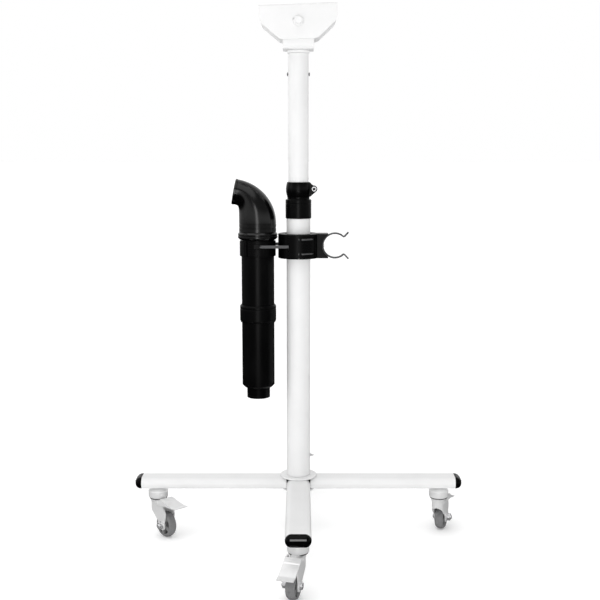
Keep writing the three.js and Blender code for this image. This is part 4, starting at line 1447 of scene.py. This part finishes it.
# ---------------------------------------------------------------- mast
@dataclass
class Mast:
    """The two round tubes of the telescopic mast."""

    wall: float = 1.5

    def build(self) -> None:
        """Makes the tubes."""
        for node, body, name in (
            ("lower_mast_tube", "base", "mast_outer_tube"),
            ("upper_mast_tube", "upper_mast", "mast_inner_tube"),
        ):
            at = Extent.of(node)
            radius = at.size.x / 2
            tube = ring(radius - self.wall, radius, at.low.z, at.high.z, 0.5, steps=FINE_ROUND)
            tube.dress(name, WHITE, body, node)


@dataclass
class LockCollar:
    """The split collar at the top of the lower tube, pinched by a cross screw."""

    skirt_edge: float = 1.6
    bulge: float = 2.4
    slit: float = 2.4
    ear_half: float = 9.5
    ear_radius: float = 6.3
    screw_radius: float = 4.4
    socket_flats: float = 5.4
    # Size of the dark hexagon in the screw's socket, which is painted shade.
    socket_shade_flats: float = 5.022

    def build(self) -> None:
        """Makes the collar and its screw."""
        at = Extent.of("lock_collar")
        lower = Extent.of("lower_mast_tube")
        upper = Extent.of("upper_mast_tube")
        skirt = -at.low.x
        bore_low = lower.size.x / 2 + GAP
        bore_high = upper.size.x / 2 + GAP
        top, bottom, step = at.high.z, at.low.z, lower.high.z
        neck, barrel = bore_high + 1.6, bore_high + 2.3
        profile = softened(
            [
                (bore_low, bottom, 0.4),
                (skirt, bottom, self.skirt_edge),
                (skirt, step - 4.6, 0.3),
                (skirt - 0.35, step - 4.2, 0.2),
                (skirt - 0.35, step - 3.6, 0.2),
                (skirt, step - 3.2, 0.3),
                (skirt, step + 3.1, 1.4),
                (neck, step + 4.0, 0.8),
                (neck, step + 8.0, 0.8),
            ],
            closed=False,
        )
        lift = top - (step + 9.0)
        for k in range(13):
            t = k / 12
            swell = self.bulge * math.sin(math.pi * min(1, t * 0.94 + 0.03))
            profile.append((barrel - 0.5 + swell, step + 9 + lift * t))
        profile += [(bore_high, top), (bore_high, step + GAP), (bore_low, step + GAP)]
        body = turned(profile, steps=112)
        screw = Extent.of("pinch_screw")
        x, z = screw.middle.x, screw.middle.z
        half = self.ear_half
        lug = [(neck - 2, step + 8.4), (neck + 1.5, step + 8.8)]
        for k in range(17):
            angle = math.radians(-58 + 160 * k / 16)
            lug.append((x + self.ear_radius * math.cos(angle), z + self.ear_radius * math.sin(angle)))
        lug += [(neck + 1.0, top - 0.6), (neck - 2, top - 0.6)]
        ears = prism(lug, -half, half, Axis.Y).bevel(0.9, 3)
        body.add(ears)
        body.cut(
            rod(bore_high, step + GAP, top + PAST, steps=ROUND),
            box((bore_high - 3, -self.slit / 2, step + 5), (x + 12, self.slit / 2, top + PAST)),
            rod(3.3, -20, 20, axis=Axis.Y).shift(x, 0, z),
        )
        body.dress("mast_lock_collar", COLLAR_BLACK_AND_SHADE, "base", "lock_collar")

        face = screw.low.y
        r = self.screw_radius
        side = softened([(0, face), (r, face, 0.7), (r, face + 6), (0, face + 6)], 0, False)
        head = turned(side, Axis.Y, SMALL_ROUND)
        head.cut(prism(six_corners(self.socket_flats), face - PAST, face + 3.2, Axis.Y)).bevel(0.25, 2)
        head.with_loose(rod(3.0, face + 5.5, screw.high.y, 0.4, axis=Axis.Y))
        head.shift(x, 0, z).dress("collar_screw", CHROME, "base", "pinch_screw")
        # A dark hexagon sunk in the screw's socket: painted shade for the socket's shadowed floor.
        socket_shade = prism(six_corners(self.socket_shade_flats), face + 0.9, face + 2.9, Axis.Y).shift(x, 0, z)
        socket_shade.dress("collar_screw_socket", COLLAR_BLACK_AND_SHADE, "base")


# ---------------------------------------------------------------- tilting head
def channel(half: float, steel: float, bend: float, base: float, tips: float) -> List[Point]:
    """The cross profile of a U-shaped bracket, as (y, z).

    Args:
        half: half its outer depth.
        steel: its thickness.
        bend: the outer radius of its bends.
        base: the height of its flat.
        tips: the height of its free edges.

    Returns:
        The outline.
    """
    way = 1 if tips > base else -1
    inner = half - steel
    return softened(
        [
            (-half, base, bend),
            (half, base, bend),
            (half, tips),
            (inner, tips),
            (inner, base + way * steel, bend - steel),
            (-inner, base + way * steel, bend - steel),
            (-inner, tips),
            (-half, tips),
        ],
        steps=8,
    )


@dataclass
class Head:
    """The plug in the mast's top, its side screws and the yoke."""

    yoke_steel: float = 3.0
    yoke_bend: float = 9.0
    shoulder: float = 20.0
    eye: float = 15.0
    bore_inset: float = 1.9

    def build(self) -> None:
        """Makes the head's pieces."""
        at = Extent.of("head_plug")
        tube = Extent.of("upper_mast_tube")
        bore = tube.size.x / 2 - self.bore_inset
        radius = at.size.x / 2
        plug = turned(
            softened(
                [
                    (0, at.low.z),
                    (bore, at.low.z, 1),
                    (bore, tube.high.z + GAP),
                    (radius, tube.high.z + GAP, 0.7),
                    (radius, at.high.z, 0.5),
                    (0, at.high.z),
                ],
                0,
                False,
            )
        )
        plug.dress("mast_top_ring", WHITE, "upper_mast", "head_plug")

        for side, node in ((-1, "head_screw_left"), (1, "head_screw_right")):
            screw = Extent.of(node)
            face = tube.size.x / 2 + GAP
            dome = [
                (0, 6),
                (2.1, 6),
                (2.1, face),
                (3.7, face, 0.3),
                (3.5, face + 1.0, 1.2),
                (1.4, face + 2.0, 1),
                (0, face + 2.0),
            ]
            head = turned(softened(dome, 0, False), Axis.X, SMALL_ROUND)
            head.cut(box((face + 1.1, -0.5, -2.4), (face + 3, 0.5, 2.4)))
            if side < 0:
                head.moved(Matrix.Rotation(math.pi, 4, "Z"))
            head.shift(0, 0, screw.middle.z).dress(f"{node}_cap", TIE_STEEL, "upper_mast", node)

        yoke = Extent.of("head_yoke")
        pivot = joint_place("saddle_tilt")
        half = yoke.size.x / 2
        low = yoke.low.z
        face = [(-half, low - PAST), (half, low - PAST), (half, low + self.shoulder, 2)]
        for k in range(25):
            angle = math.pi * k / 24
            face.append((self.eye * math.cos(angle), pivot.z + self.eye * math.sin(angle)))
        face.append((-half, low + self.shoulder, 2))
        outline = channel(yoke.size.y / 2, self.yoke_steel, self.yoke_bend, low, yoke.high.z + 2)
        bracket = prism(outline, -half, half, Axis.X).keep(prism(softened(face), -60, 60, Axis.Y))
        bracket.cut(rod(5.3, -60, 60, axis=Axis.Y).shift(0, 0, pivot.z))
        bracket.bevel(0.6, 2).dress("yoke_bracket", WHITE, "upper_mast", "head_yoke")


@dataclass
class Saddle:
    """The tilting saddle and its pivot bolt, drawn level about the pivot and then tilted."""

    width: float = 142.0
    height: float = 61.8
    rim: float = 29.0
    foot: float = 62.0
    corner: float = 10.0
    steel: float = 2.5
    bend: float = 4.5
    above_pivot: float = 29.8
    slot: Tuple[float, float] = (24.0, 7.0)
    slot_place: Tuple[float, float] = (46.0, 20.0)
    flange: float = 9.5
    flats: float = 13.0

    def place(self) -> Matrix:
        """The tilt and the place of the pivot, from the frame's own mount and joint.

        Returns:
            The matrix.
        """
        axis = frame["record"]["mounts"][0]["axis"]
        tilt = math.atan2(axis[0], axis[2])
        return Matrix.Translation(joint_place("saddle_tilt")) @ Matrix.Rotation(tilt, 4, "Y")

    def build(self) -> None:
        """Makes the saddle, its bolt and its nut."""
        half = Extent.of("saddle_channel").size.y / 2
        top = self.above_pivot
        bottom = top - self.height
        knee = top - self.rim
        wide, narrow = self.width / 2, self.foot / 2
        outline = channel(half, self.steel, self.bend, top, bottom)
        side = softened(
            [
                (-wide, top + PAST),
                (-wide, knee, 22),
                (-narrow - 3, bottom, 16),
                (narrow + 3, bottom, 16),
                (wide, knee, 22),
                (wide, top + PAST),
            ],
            steps=9,
        )
        body = prism(outline, -wide, wide, Axis.X).keep(prism(side, -60, 60, Axis.Y))
        cutters = [
            rod(5.3, -60, 60, axis=Axis.Y),
            rod(1.8, -60, -30, axis=Axis.Y, steps=24).shift(-8.5, 0, 3),
        ]
        for x in (-self.slot_place[0], self.slot_place[0]):
            for y in (-self.slot_place[1], self.slot_place[1]):
                oval = [(x + u, y + v) for u, v in flat_oval(*self.slot)]
                cutters.append(prism(oval, top - 5, top + PAST, Axis.Z))
        body.cut(*cutters)
        body.bevel(0.55, 2).moved(self.place()).dress("saddle_bracket", WHITE, "saddle", "saddle_channel")

        face = half + GAP
        for sign, name, node in ((-1, "pivot_bolt_head", "pivot_bolt"), (1, "pivot_lock_nut", "pivot_nut")):
            dome = [
                (0, face),
                (self.flange, face, 0.4),
                (self.flange - 0.3, face + 1.8, 0.8),
                (6.4, face + 2.2),
                (0, face + 2.2),
            ]
            head = turned(softened(dome, 0, False), Axis.Y, SMALL_ROUND)
            head.add(hexagon(self.flats, face + 1.0, face + 8.0, Axis.Y, Hand.PLUS))
            head.cut(rod(1.3, face + 1.2, face + 12, axis=Axis.Y, steps=20).shift(7.6, 0, 3.2))
            if sign > 0:
                head.cut(rod(5.3, face - PAST, face + 12, axis=Axis.Y))
            else:
                head.with_loose(rod(5.0, -half - 11, face + 0.5, 0.8, axis=Axis.Y))
                head.moved(Matrix.Rotation(math.pi, 4, "Z"))
            head.moved(self.place()).dress(name, WHITE, "saddle", node)


# ---------------------------------------------------------------- holder
@dataclass
class Clamp:
    """The two clamp halves on the mast, their tie rings and the rubber liner."""

    edge: float = 0.9
    seam: float = 1.0
    seam_half: float = 0.35
    web_half: float = 15.0
    window: Tuple[float, float] = (4.6, 30.8)
    window_border: float = 3.0
    window_depth: float = 0.9
    tie_height: float = 3.0
    tie_depth: float = 1.5
    tie_inset: float = 3.0
    tie_turn: Tuple[float, float] = (211.0, 348.0)
    ribs: int = 6
    rib_step: float = 2.7

    def build(self, row: Row) -> None:
        """Makes the clamp's pieces.

        Args:
            row: the tree that repeats things along a line.
        """
        left = Extent.of("clamp_half_left")
        right = Extent.of("clamp_half_right")
        self.radius = left.size.y / 2
        self.low, self.high = left.low.z, left.high.z
        self.middle = (self.low + self.high) / 2
        self.bore = Extent.of("clamp_liner").size.x / 2 + GAP
        self.tie = self.radius - self.tie_inset
        offset = Extent.of("tie_ring_upper").middle.z - self.middle
        self.ties = (self.middle - offset, self.middle + offset)
        self.left_half()
        self.right_half(right.high.x, row)
        liner = Extent.of("clamp_liner")
        outer = liner.size.x / 2
        soft = ring(outer - 2.1, outer, liner.low.z, liner.high.z, 0.5, steps=ROUND)
        soft.dress("clamp_rubber", LINER, "holder_guide", "clamp_liner")
        for node in ("tie_ring_lower", "tie_ring_upper"):
            at = Extent.of(node)
            band = ring(
                self.tie - self.tie_depth / 2,
                self.tie + self.tie_depth / 2,
                at.low.z,
                at.high.z,
                0.4,
                start=self.tie_turn[0],
                sweep=self.tie_turn[1],
            )
            band.dress(f"{node}_band", TIE_STEEL, "holder", node)

    def barrel(self) -> Part:
        """The whole round of the clamp, before it is split."""
        return ring(self.bore, self.radius, self.low, self.high, self.edge, steps=144)

    def grooves(self) -> List[Part]:
        """The cutters for the tie rings' grooves.

        Returns:
            The cutters.
        """
        half = self.tie_height / 2 + GAP
        inner = self.tie - self.tie_depth / 2 - GAP
        outer = self.tie + self.tie_depth / 2 + GAP
        return [ring(inner, outer, z - half, z + half, 0) for z in self.ties]

    def left_half(self) -> None:
        """Makes the half that carries the links."""
        big = 2 * self.radius
        edge = self.seam - self.seam_half
        half = self.barrel().keep(box((-big, -big, self.low - PAST), (edge, big, self.high + PAST)))
        for node in ("ring_link_front", "ring_link_rear"):
            at = Extent.of(node)
            low = (-big, at.low.y - GAP, at.low.z - GAP)
            half.cut(box(low, (at.high.x + GAP, at.high.y + GAP, at.high.z + GAP)))
        half.cut(*self.grooves()).bevel(0.35, 2)
        half.dress("clamp_left_shell", CLAMP_BLACK, "holder", "clamp_half_left")

    def right_half(self, reach: float, row: Row) -> None:
        """Makes the half with the web for the hose clip and the ribbed window.

        Args:
            reach: how far the web runs from the mast's axis.
            row: the tree that repeats things along a line.
        """
        big = 2 * self.radius
        edge = self.seam + self.seam_half
        half = self.barrel().keep(box((edge, -big, self.low - PAST), (big, big, self.high + PAST)))
        root, wide = self.radius - 8, self.web_half
        web = softened([(reach, -wide, 1.2), (reach, wide, 1.2), (root, wide), (root, -wide)])
        half.add(prism(web, self.low, self.high, Axis.Z))
        centre = Extent.of("hose_clip").low.x + HoseClip.radius
        hose = rod(HoseClip.radius + 0.5, -big, big, axis=Axis.Y, steps=ROUND)
        half.cut(hose.shift(centre, 0, self.middle))
        half.cut(rod(2.2, self.bore + 10, big, axis=Axis.X).shift(0, 0, self.middle))
        top, bottom = self.high - self.window_border, self.low + self.window_border
        skin = ring(self.radius - self.window_depth, big, self.low - PAST, self.high + PAST, 0)
        start, end = self.window
        half.cut(skin.keep(box((start, -big, bottom), (end, -10, top))))
        inner = self.tie - self.tie_depth / 2 - GAP
        for z in self.ties:
            slot = ring(inner, big, self.low - PAST, self.high + PAST, 0)
            half.cut(slot.keep(box((start + 1.4, -big, z - 2.3), (end - 1.4, -10, z + 2.3))))
        half.cut(*self.grooves()).bevel(0.35, 2)
        step = self.rib_step
        height = self.middle - step * (self.ribs - 1) / 2
        radius = self.radius - self.window_depth + 0.15
        rib = ring(radius - 0.6, radius + 0.45, height - 0.5, height + 0.5, 0.3, start=281, sweep=29)
        half.with_loose(row.run(rib, CLAMP_BLACK, Count=self.ribs, Step=(0.0, 0.0, step)))
        half.dress("clamp_right_shell", CLAMP_BLACK, "holder", "clamp_half_right")


@dataclass
class HoseClip:
    """The spring-steel clip for the air hose, and its rivet."""

    radius: float = 24.2
    steel: float = 2.8
    mouth: float = 57.0
    knee_turn: float = 13.0
    knee_radius: float = 23.0
    lip_bend: float = 3.4
    rivet: float = 3.6

    def build(self) -> None:
        """Makes the clip and the rivet."""
        at = Extent.of("hose_clip")
        x, z = at.low.x + self.radius, at.middle.z
        tip_x, tip_z = at.high.x - 0.8, at.size.z / 2 - 0.9
        middle = self.radius - 1.0
        arc = []
        for k in range(61):
            angle = math.radians(self.mouth + (360 - 2 * self.mouth) * k / 60)
            arc.append((x + middle * math.cos(angle), z + middle * math.sin(angle)))
        knee = math.radians(self.mouth - self.knee_turn)
        turn = (x + self.knee_radius * math.cos(knee), z + self.knee_radius * math.sin(knee))
        lip = softened([arc[0], turn, (tip_x, z + tip_z)], self.lip_bend, closed=False, steps=8)[1:]
        below = [(u, 2 * z - v) for u, v in lip]
        path = lip[::-1] + arc + below
        clip = strip(path, self.steel, at.low.y, at.high.y)
        clip.cut(rod(2.1, at.low.x - 5, at.low.x + 8, axis=Axis.X).shift(0, 0, z)).bevel(0.4, 2)
        clip.dress("hose_spring_clip", SPRING, "holder", "hose_clip")

        shank = Extent.of("clip_rivet")
        face = at.low.x + 2.1
        dome = [
            (0, shank.low.x),
            (1.9, shank.low.x),
            (1.9, face),
            (self.rivet, face, 0.2),
            (self.rivet - 0.8, shank.high.x - 0.2, 0.8),
            (0, shank.high.x),
        ]
        head = turned(softened(dome, 0, False), Axis.X, SMALL_ROUND).shift(0, 0, z)
        head.dress("clip_rivet_head", ZINC, "holder", "clip_rivet")


@dataclass
class SnapRing:
    """The sprung ring that the nozzle snaps into, and the two flat links that carry it."""

    wall: float = 2.8
    slit_angle: float = 237.0
    slit: float = 1.6
    ridges: int = 6

    def build(self, row: Row) -> None:
        """Makes the ring and its links.

        Args:
            row: the tree that repeats things along a line.
        """
        at = Extent.of("snap_ring")
        tube = Extent.of("main_tube")
        centre = tube.middle.x
        bore = tube.size.x / 2 + 0.4
        outer = bore + self.wall
        low, high = at.low.z, at.high.z
        body = turned(
            softened([(bore, low), (outer, low), (outer, high), (bore, high)], 0.9),
            steps=FINE_ROUND,
            start=self.slit_angle + 1.4,
            sweep=357.2,
        )
        root, crest = outer - 2.4, outer + 2.2
        lug = softened([(root, -8.2, 1.2), (crest, -7.6, 1.4), (crest, -0.9, 0.8), (root, -0.9)], steps=6)
        block = prism(lug, low, high, Axis.Z).bevel(0.8, 3)
        block.moved(Matrix.Rotation(math.radians(self.slit_angle), 4, "Z"))
        body.add(block)
        ends = Extent.of("ring_link_front")
        mid = ends.middle.z
        depth = abs(ends.middle.y)
        body.shift(centre, 0, 0)
        for side in (-1, 1):
            a, b = sorted((side * (depth - 3), side * (depth + 2.3)))
            lobe = box((ends.low.x - 2.6, a, mid - 4.8), (centre + 5, b, mid + 4.8)).bevel(1.0, 3)
            body.add(lobe)
            c, d = sorted((side * (depth - 1.05), side * (depth + 1.05)))
            body.cut(box((ends.low.x - GAP, c, mid - 3.15), (centre + outer, d, mid + 3.15)))
        body.cut(rod(bore, low - PAST, high + PAST, steps=FINE_ROUND).shift(centre, 0, 0))
        step = (high - low - 7) / (self.ridges - 1)
        ridge = ring(outer - 0.6, outer + 0.5, low + 3.0, low + 4.0, 0.3, start=self.slit_angle + 4, sweep=46)
        ridge.shift(centre, 0, 0)
        body.with_loose(row.run(ridge, CLAMP_BLACK, Count=self.ridges, Step=(0.0, 0.0, step)))
        body.dress("nozzle_snap_ring", CLAMP_BLACK, "holder", "snap_ring")

        for node in ("ring_link_front", "ring_link_rear"):
            link = Extent.of(node)
            bar = box(tuple(link.low), tuple(link.high)).bevel(0.5, 2)
            bar.dress(f"{node}_bar", SPRING, "holder", node)


# ---------------------------------------------------------------- nozzle
@dataclass
class Nozzle:
    """The air nozzle: two tubes, their coupling, the elbow and the ring that holds it."""

    wall: float = 2.0
    elbow_wall: float = 2.4
    straight: float = 17.0
    mouth_radius: float = 23.8
    rise: float = 10.8
    outer_pull: Tuple[float, float] = (42.0, 44.0)
    inner_pull: Tuple[float, float] = (33.0, 9.5)
    lip: float = 5.5
    around: int = 72
    bend_steps: int = 40

    def build(self, row: Row) -> None:
        """Makes the nozzle's pieces.

        Args:
            row: the tree that repeats things along a line.
        """
        tube = Extent.of("main_tube")
        self.centre = tube.middle.x
        self.radius = tube.size.x / 2
        self.tubes(tube)
        self.coupling()
        self.nut()
        self.elbow(row)

    def on_axis(self, profile: Sequence[Point]) -> Part:
        """A round piece about the nozzle's axis."""
        return turned(softened(profile), steps=FINE_ROUND).shift(self.centre, 0, 0)

    def tubes(self, tube: Extent) -> None:
        """Makes the two tubes.

        Args:
            tube: the box of the upper one.
        """
        bore = self.radius - self.wall
        main = ring(bore, self.radius, tube.low.z, tube.high.z, 0.5, steps=FINE_ROUND)
        main.shift(self.centre, 0, 0).dress("nozzle_main_tube", TUBE_BLACK, "nozzle", "main_tube")

        at = Extent.of("lower_tube")
        neck, end = 22.0, at.low.z
        step = end + 25.0
        r, w = self.radius, self.wall
        profile = [
            (neck, end, 0.6),
            (neck, end + 4.0, 0.3),
            (neck - 0.4, end + 4.4, 0.2),
            (neck - 0.4, end + 5.2, 0.2),
            (neck, end + 5.6, 0.3),
            (neck, step - 4.5, 1.0),
            (r - 5, step - 4.5, 1.2),
            (r, step + 0.4, 1.6),
            (r, at.high.z, 0.5),
            (r - w, at.high.z, 0.4),
            (r - w, step + 2, 1.0),
            (r - 6.5, step - 2.4, 1.0),
            (neck - w, step - 2.4, 0.8),
            (neck - w, end, 0.5),
        ]
        self.on_axis(profile).dress("nozzle_lower_tube", TUBE_BLACK, "nozzle", "lower_tube")

    def coupling(self) -> None:
        """Makes the ring that joins the tubes."""
        at = Extent.of("coupling_ring")
        r, low, high = at.size.x / 2, at.low.z, at.high.z
        bore = self.radius + GAP
        profile = [
            (bore, low, 0.3),
            (r - 1.0, low, 0.6),
            (r - 0.9, low + 2.2, 0.6),
            (r, low + 3.4, 1.0),
            (r, high - 8.2, 0.4),
            (r - 0.5, high - 7.6, 0.3),
            (r - 0.5, high - 6.6, 0.3),
            (r, high - 6.0, 0.4),
            (r, high - 2.6, 1.2),
            (r - 1.6, high, 0.9),
            (bore, high, 0.3),
        ]
        self.on_axis(profile).dress("tube_coupling", TUBE_BLACK, "coupling", "coupling_ring")

    def nut(self) -> None:
        """Makes the ring under the elbow."""
        at = Extent.of("elbow_nut")
        r, low, high = at.size.x / 2, at.low.z, at.high.z
        bore = self.radius + GAP
        profile = [
            (bore, low, 0.3),
            (r - 3.4, low, 0.8),
            (r - 1.4, low + 2.0, 1.0),
            (r, low + 3.6, 1.0),
            (r, low + 6.6, 0.5),
            (r - 0.8, low + 7.2, 0.3),
            (r - 0.8, low + 8.2, 0.3),
            (r, low + 8.8, 0.5),
            (r, high - 3.2, 1.2),
            (r - 2.6, high, 0.9),
            (bore, high, 0.3),
        ]
        self.on_axis(profile).dress("elbow_collar", ELBOW_BLACK, "elbow", "elbow_nut")

    def elbow_ring(self, low: Vector, high: Vector, half: float, grow: float) -> List[Point]:
        """One ring of the elbow between its inner and outer wall curves.

        Args:
            low: where the ring meets the inside of the bend, as (x, z).
            high: where it meets the outside.
            half: its half width along Y.
            grow: how far it stands proud of the wall, or in from it when negative.

        Returns:
            Its points.
        """
        middle, reach = (low + high) / 2, (high - low) / 2
        swell = (reach.length + grow) / reach.length
        points: List[Point] = []
        for i in range(self.around):
            angle = math.tau * i / self.around
            c = math.cos(angle) * swell
            points.append(
                (
                    self.centre + middle.x + reach.x * c,
                    (half + grow) * math.sin(angle),
                    middle.y + reach.y * c,
                )
            )
        return points

    def elbow(self, row: Row) -> None:
        """Makes the elbow with its socket ridges and the bead behind its mouth.

        Args:
            row: the tree that repeats things along a line.
        """
        at = Extent.of("nozzle_elbow")
        r = at.high.x - self.centre
        start = at.low.z
        bend = start - GAP + self.straight
        rise = math.radians(self.rise)
        over = Vector((math.sin(rise), math.cos(rise)))
        out = Vector((-math.cos(rise), math.sin(rise)))
        reach = self.centre - at.low.x - self.mouth_radius * math.sin(rise)
        top = at.high.z - self.mouth_radius * math.cos(rise)
        mouth = Vector((-reach, top))

        def rim(back: float, grow: float) -> List[Point]:
            """A ring square to the mouth.

            Args:
                back: how far behind the mouth it is.
                grow: how far it stands proud of the wall.

            Returns:
                Its points.
            """
            here = mouth - out * back
            half = over * self.mouth_radius
            return self.elbow_ring(here - half, here + half, self.mouth_radius, grow)

        def curve(side: int, pull: Tuple[float, float], t: float) -> Vector:
            """A point on the wall curve on one side of the bend.

            Args:
                side: 1 for the outside of the bend, -1 for the inside.
                pull: how hard the curve leaves the socket and how hard it meets the mouth.
                t: the share of the bend, from 0 to 1.

            Returns:
                The point as (x, z) from the nozzle's axis.
            """
            end = mouth - out * self.lip + over * self.mouth_radius * side
            first = Vector((side * r, bend))
            second = Vector((side * r, bend + pull[0]))
            third = end - out * (pull[1] - (self.lip if side > 0 else 0))
            s = 1 - t
            return first * s**3 + second * 3 * t * s**2 + third * 3 * t * t * s + end * t**3

        def at_step(t: float, grow: float) -> List[Point]:
            """The ring at a share of the bend."""
            half = r + (self.mouth_radius - r) * t * t * (3 - 2 * t)
            return self.elbow_ring(curve(-1, self.inner_pull, t), curve(1, self.outer_pull, t), half, grow)

        def straight(z: float, grow: float) -> List[Point]:
            """A level ring below the bend."""
            return self.elbow_ring(Vector((-r, z)), Vector((r, z)), r, grow)

        outer = [straight(start, -0.6), straight(start + 0.5, 0.0)]
        grooves = [(7.4, 0), (7.8, -0.5), (8.8, -0.5), (9.2, 0)]
        grooves += [(15.0, 0), (15.4, -0.45), (16.2, -0.45), (16.6, 0)]
        outer += [straight(start + z, grow) for z, grow in grooves]
        shares = [k / self.bend_steps for k in range(self.bend_steps + 1)]
        outer += [at_step(t, 0) for t in shares]
        wall, lip = self.elbow_wall, self.lip
        bead = [(lip - 0.3, -0.5), (lip - 0.9, -0.5), (lip - 1.3, 0.4), (0.5, 0.5), (0.1, 0.2), (0, -0.4)]
        outer += [rim(back, grow) for back, grow in bead]
        inside = [rim(0, 0.5 - wall), rim(0.4, -wall), rim(lip - 1, -wall)]
        back = [at_step(t, -wall) for t in reversed(shares)]
        base = [straight(start + 0.4, -wall), straight(start, 0.4 - wall)]
        body = loft(outer + inside + back + base, hollow=True)
        band = ring(r - 1.2, r + 0.25, start + 10.8, start + 11.8, 0.22, steps=FINE_ROUND)
        band.shift(self.centre, 0, 0)
        body.with_loose(row.run(band, ELBOW_BLACK, Count=2, Step=(0.0, 0.0, 1.9)))
        body.dress("elbow_bend", ELBOW_BLACK, "elbow", "nozzle_elbow")


# ---------------------------------------------------------------- what stays as the frame has it
@dataclass
class Hidden:
    """The frame's own nodes that keep their shape and get a finish."""

    def build(self) -> None:
        """Dresses the nodes."""
        finishes = {"mast_foot_plug": ZINC, "mast_bush": NYLON, "slide_foot": NYLON}
        for name, finish in finishes.items():
            node = frame["nodes"][name]
            node.data.materials.clear()
            node.data.materials.append(finish.material())
            LOG.info("%s: kept, %s", name, finish.name)


# ---------------------------------------------------------------- studio
@dataclass
class Studio:
    """A pale floor, soft light and the camera."""

    floor_half: float = 60.0
    eye: Tuple[float, float, float] = (0.003, -1.906, 0.749)
    pitch: float = 8.47
    lens: float = 60.4
    sky: float = 1.0
    sky_front: float = 0.26
    sun: float = 1.5

    def build(self) -> None:
        """Makes the stage, the lights and the camera."""
        scene = bpy.context.scene
        scene.view_settings.view_transform = "Standard"
        h = self.floor_half
        mesh = bpy.data.meshes.new("floor")
        mesh.from_pydata([(-h, -h, 0), (h, -h, 0), (h, h, 0), (-h, h, 0)], [], [(0, 1, 2, 3)])
        mesh.materials.append(FLOOR.material())
        floor = bpy.data.objects.new("floor", mesh)
        scene.collection.objects.link(floor)
        floor.visible_glossy = False

        world = bpy.data.worlds.new("studio")
        scene.world = world
        world.use_nodes = True
        sky = Graph(world.node_tree)
        around = sky.node("ShaderNodeTexCoord", output="Generated")
        depth = sky.node("ShaderNodeSeparateXYZ", {}, {0: around}, "Y")
        height = sky.node("ShaderNodeSeparateXYZ", {}, {0: around}, "Z")
        over_front = (1 - depth.above(0.05, 0.5)) * height.above(0.15, 0.21)
        above_floor = height.above(-0.09, 0.05)
        light = (self.sky - (self.sky - self.sky_front) * over_front) * above_floor
        backing = world.node_tree.nodes["Background"]
        backing.inputs["Color"].default_value = rgb(1, 1, 1)
        world.node_tree.links.new(light.socket, backing.inputs["Strength"])

        self.sunlight()
        self.softbox("front_strip", (-0.1, -2.3, 0.8), (0.5, 1.56), 10)
        self.softbox("low_bar", (0.0, -2.5, 0.14), (1.2, 0.14), 4, 0.1)
        self.softbox("left_strip", (-2.6, -0.6, 1.6), (0.2, 1.6), 7)

        data = bpy.data.cameras.new("camera")
        data.lens = self.lens
        data.sensor_width = 36.0
        data.clip_end = 200.0
        camera = bpy.data.objects.new("camera", data)
        camera.location = self.eye
        camera.rotation_euler = (math.radians(90 - self.pitch), 0, 0)
        scene.collection.objects.link(camera)
        scene.camera = camera

    def sunlight(self) -> None:
        """A very soft light from above."""
        data = bpy.data.lights.new("overhead", "SUN")
        data.energy = self.sun
        data.angle = math.radians(70)
        light = bpy.data.objects.new("overhead", data)
        light.rotation_euler = (math.radians(18), math.radians(-8), 0)
        bpy.context.scene.collection.objects.link(light)

    def softbox(
        self,
        name: str,
        place: Point,
        size: Tuple[float, float],
        power: float,
        aim_height: float = 0.6,
    ) -> None:
        """A soft light that faces the stand.

        Args:
            name: its name.
            place: where it stands, in metres.
            size: its width and height, in metres.
            power: its power in watts.
            aim_height: how high on the mast it is aimed, in metres.
        """
        data = bpy.data.lights.new(name, "AREA")
        data.shape = "RECTANGLE"
        data.size, data.size_y = size
        data.energy = power
        light = bpy.data.objects.new(name, data)
        light.location = place
        aim = Vector((0, 0, aim_height)) - Vector(place)
        light.rotation_euler = aim.to_track_quat("-Z", "Y").to_euler()
        bpy.context.scene.collection.objects.link(light)


def main() -> None:
    """Builds the studio, then the stand piece by piece."""
    logging.basicConfig(level=logging.INFO, format="%(name)s %(message)s")
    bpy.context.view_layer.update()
    Studio().build()
    row, wreath = Row(), Wreath()
    Hub().build()
    for corner in Corner:
        place = joint_place(f"caster_swivel_{corner.value}")
        Leg(corner, math.atan2(place.y, place.x)).build()
        Caster(corner).build(wreath)
    Mast().build()
    LockCollar().build()
    Head().build()
    Saddle().build()
    Clamp().build(row)
    HoseClip().build()
    SnapRing().build(row)
    Nozzle().build(row)
    Hidden().build()
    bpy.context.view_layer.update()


if __name__ == "__main__":
    main()
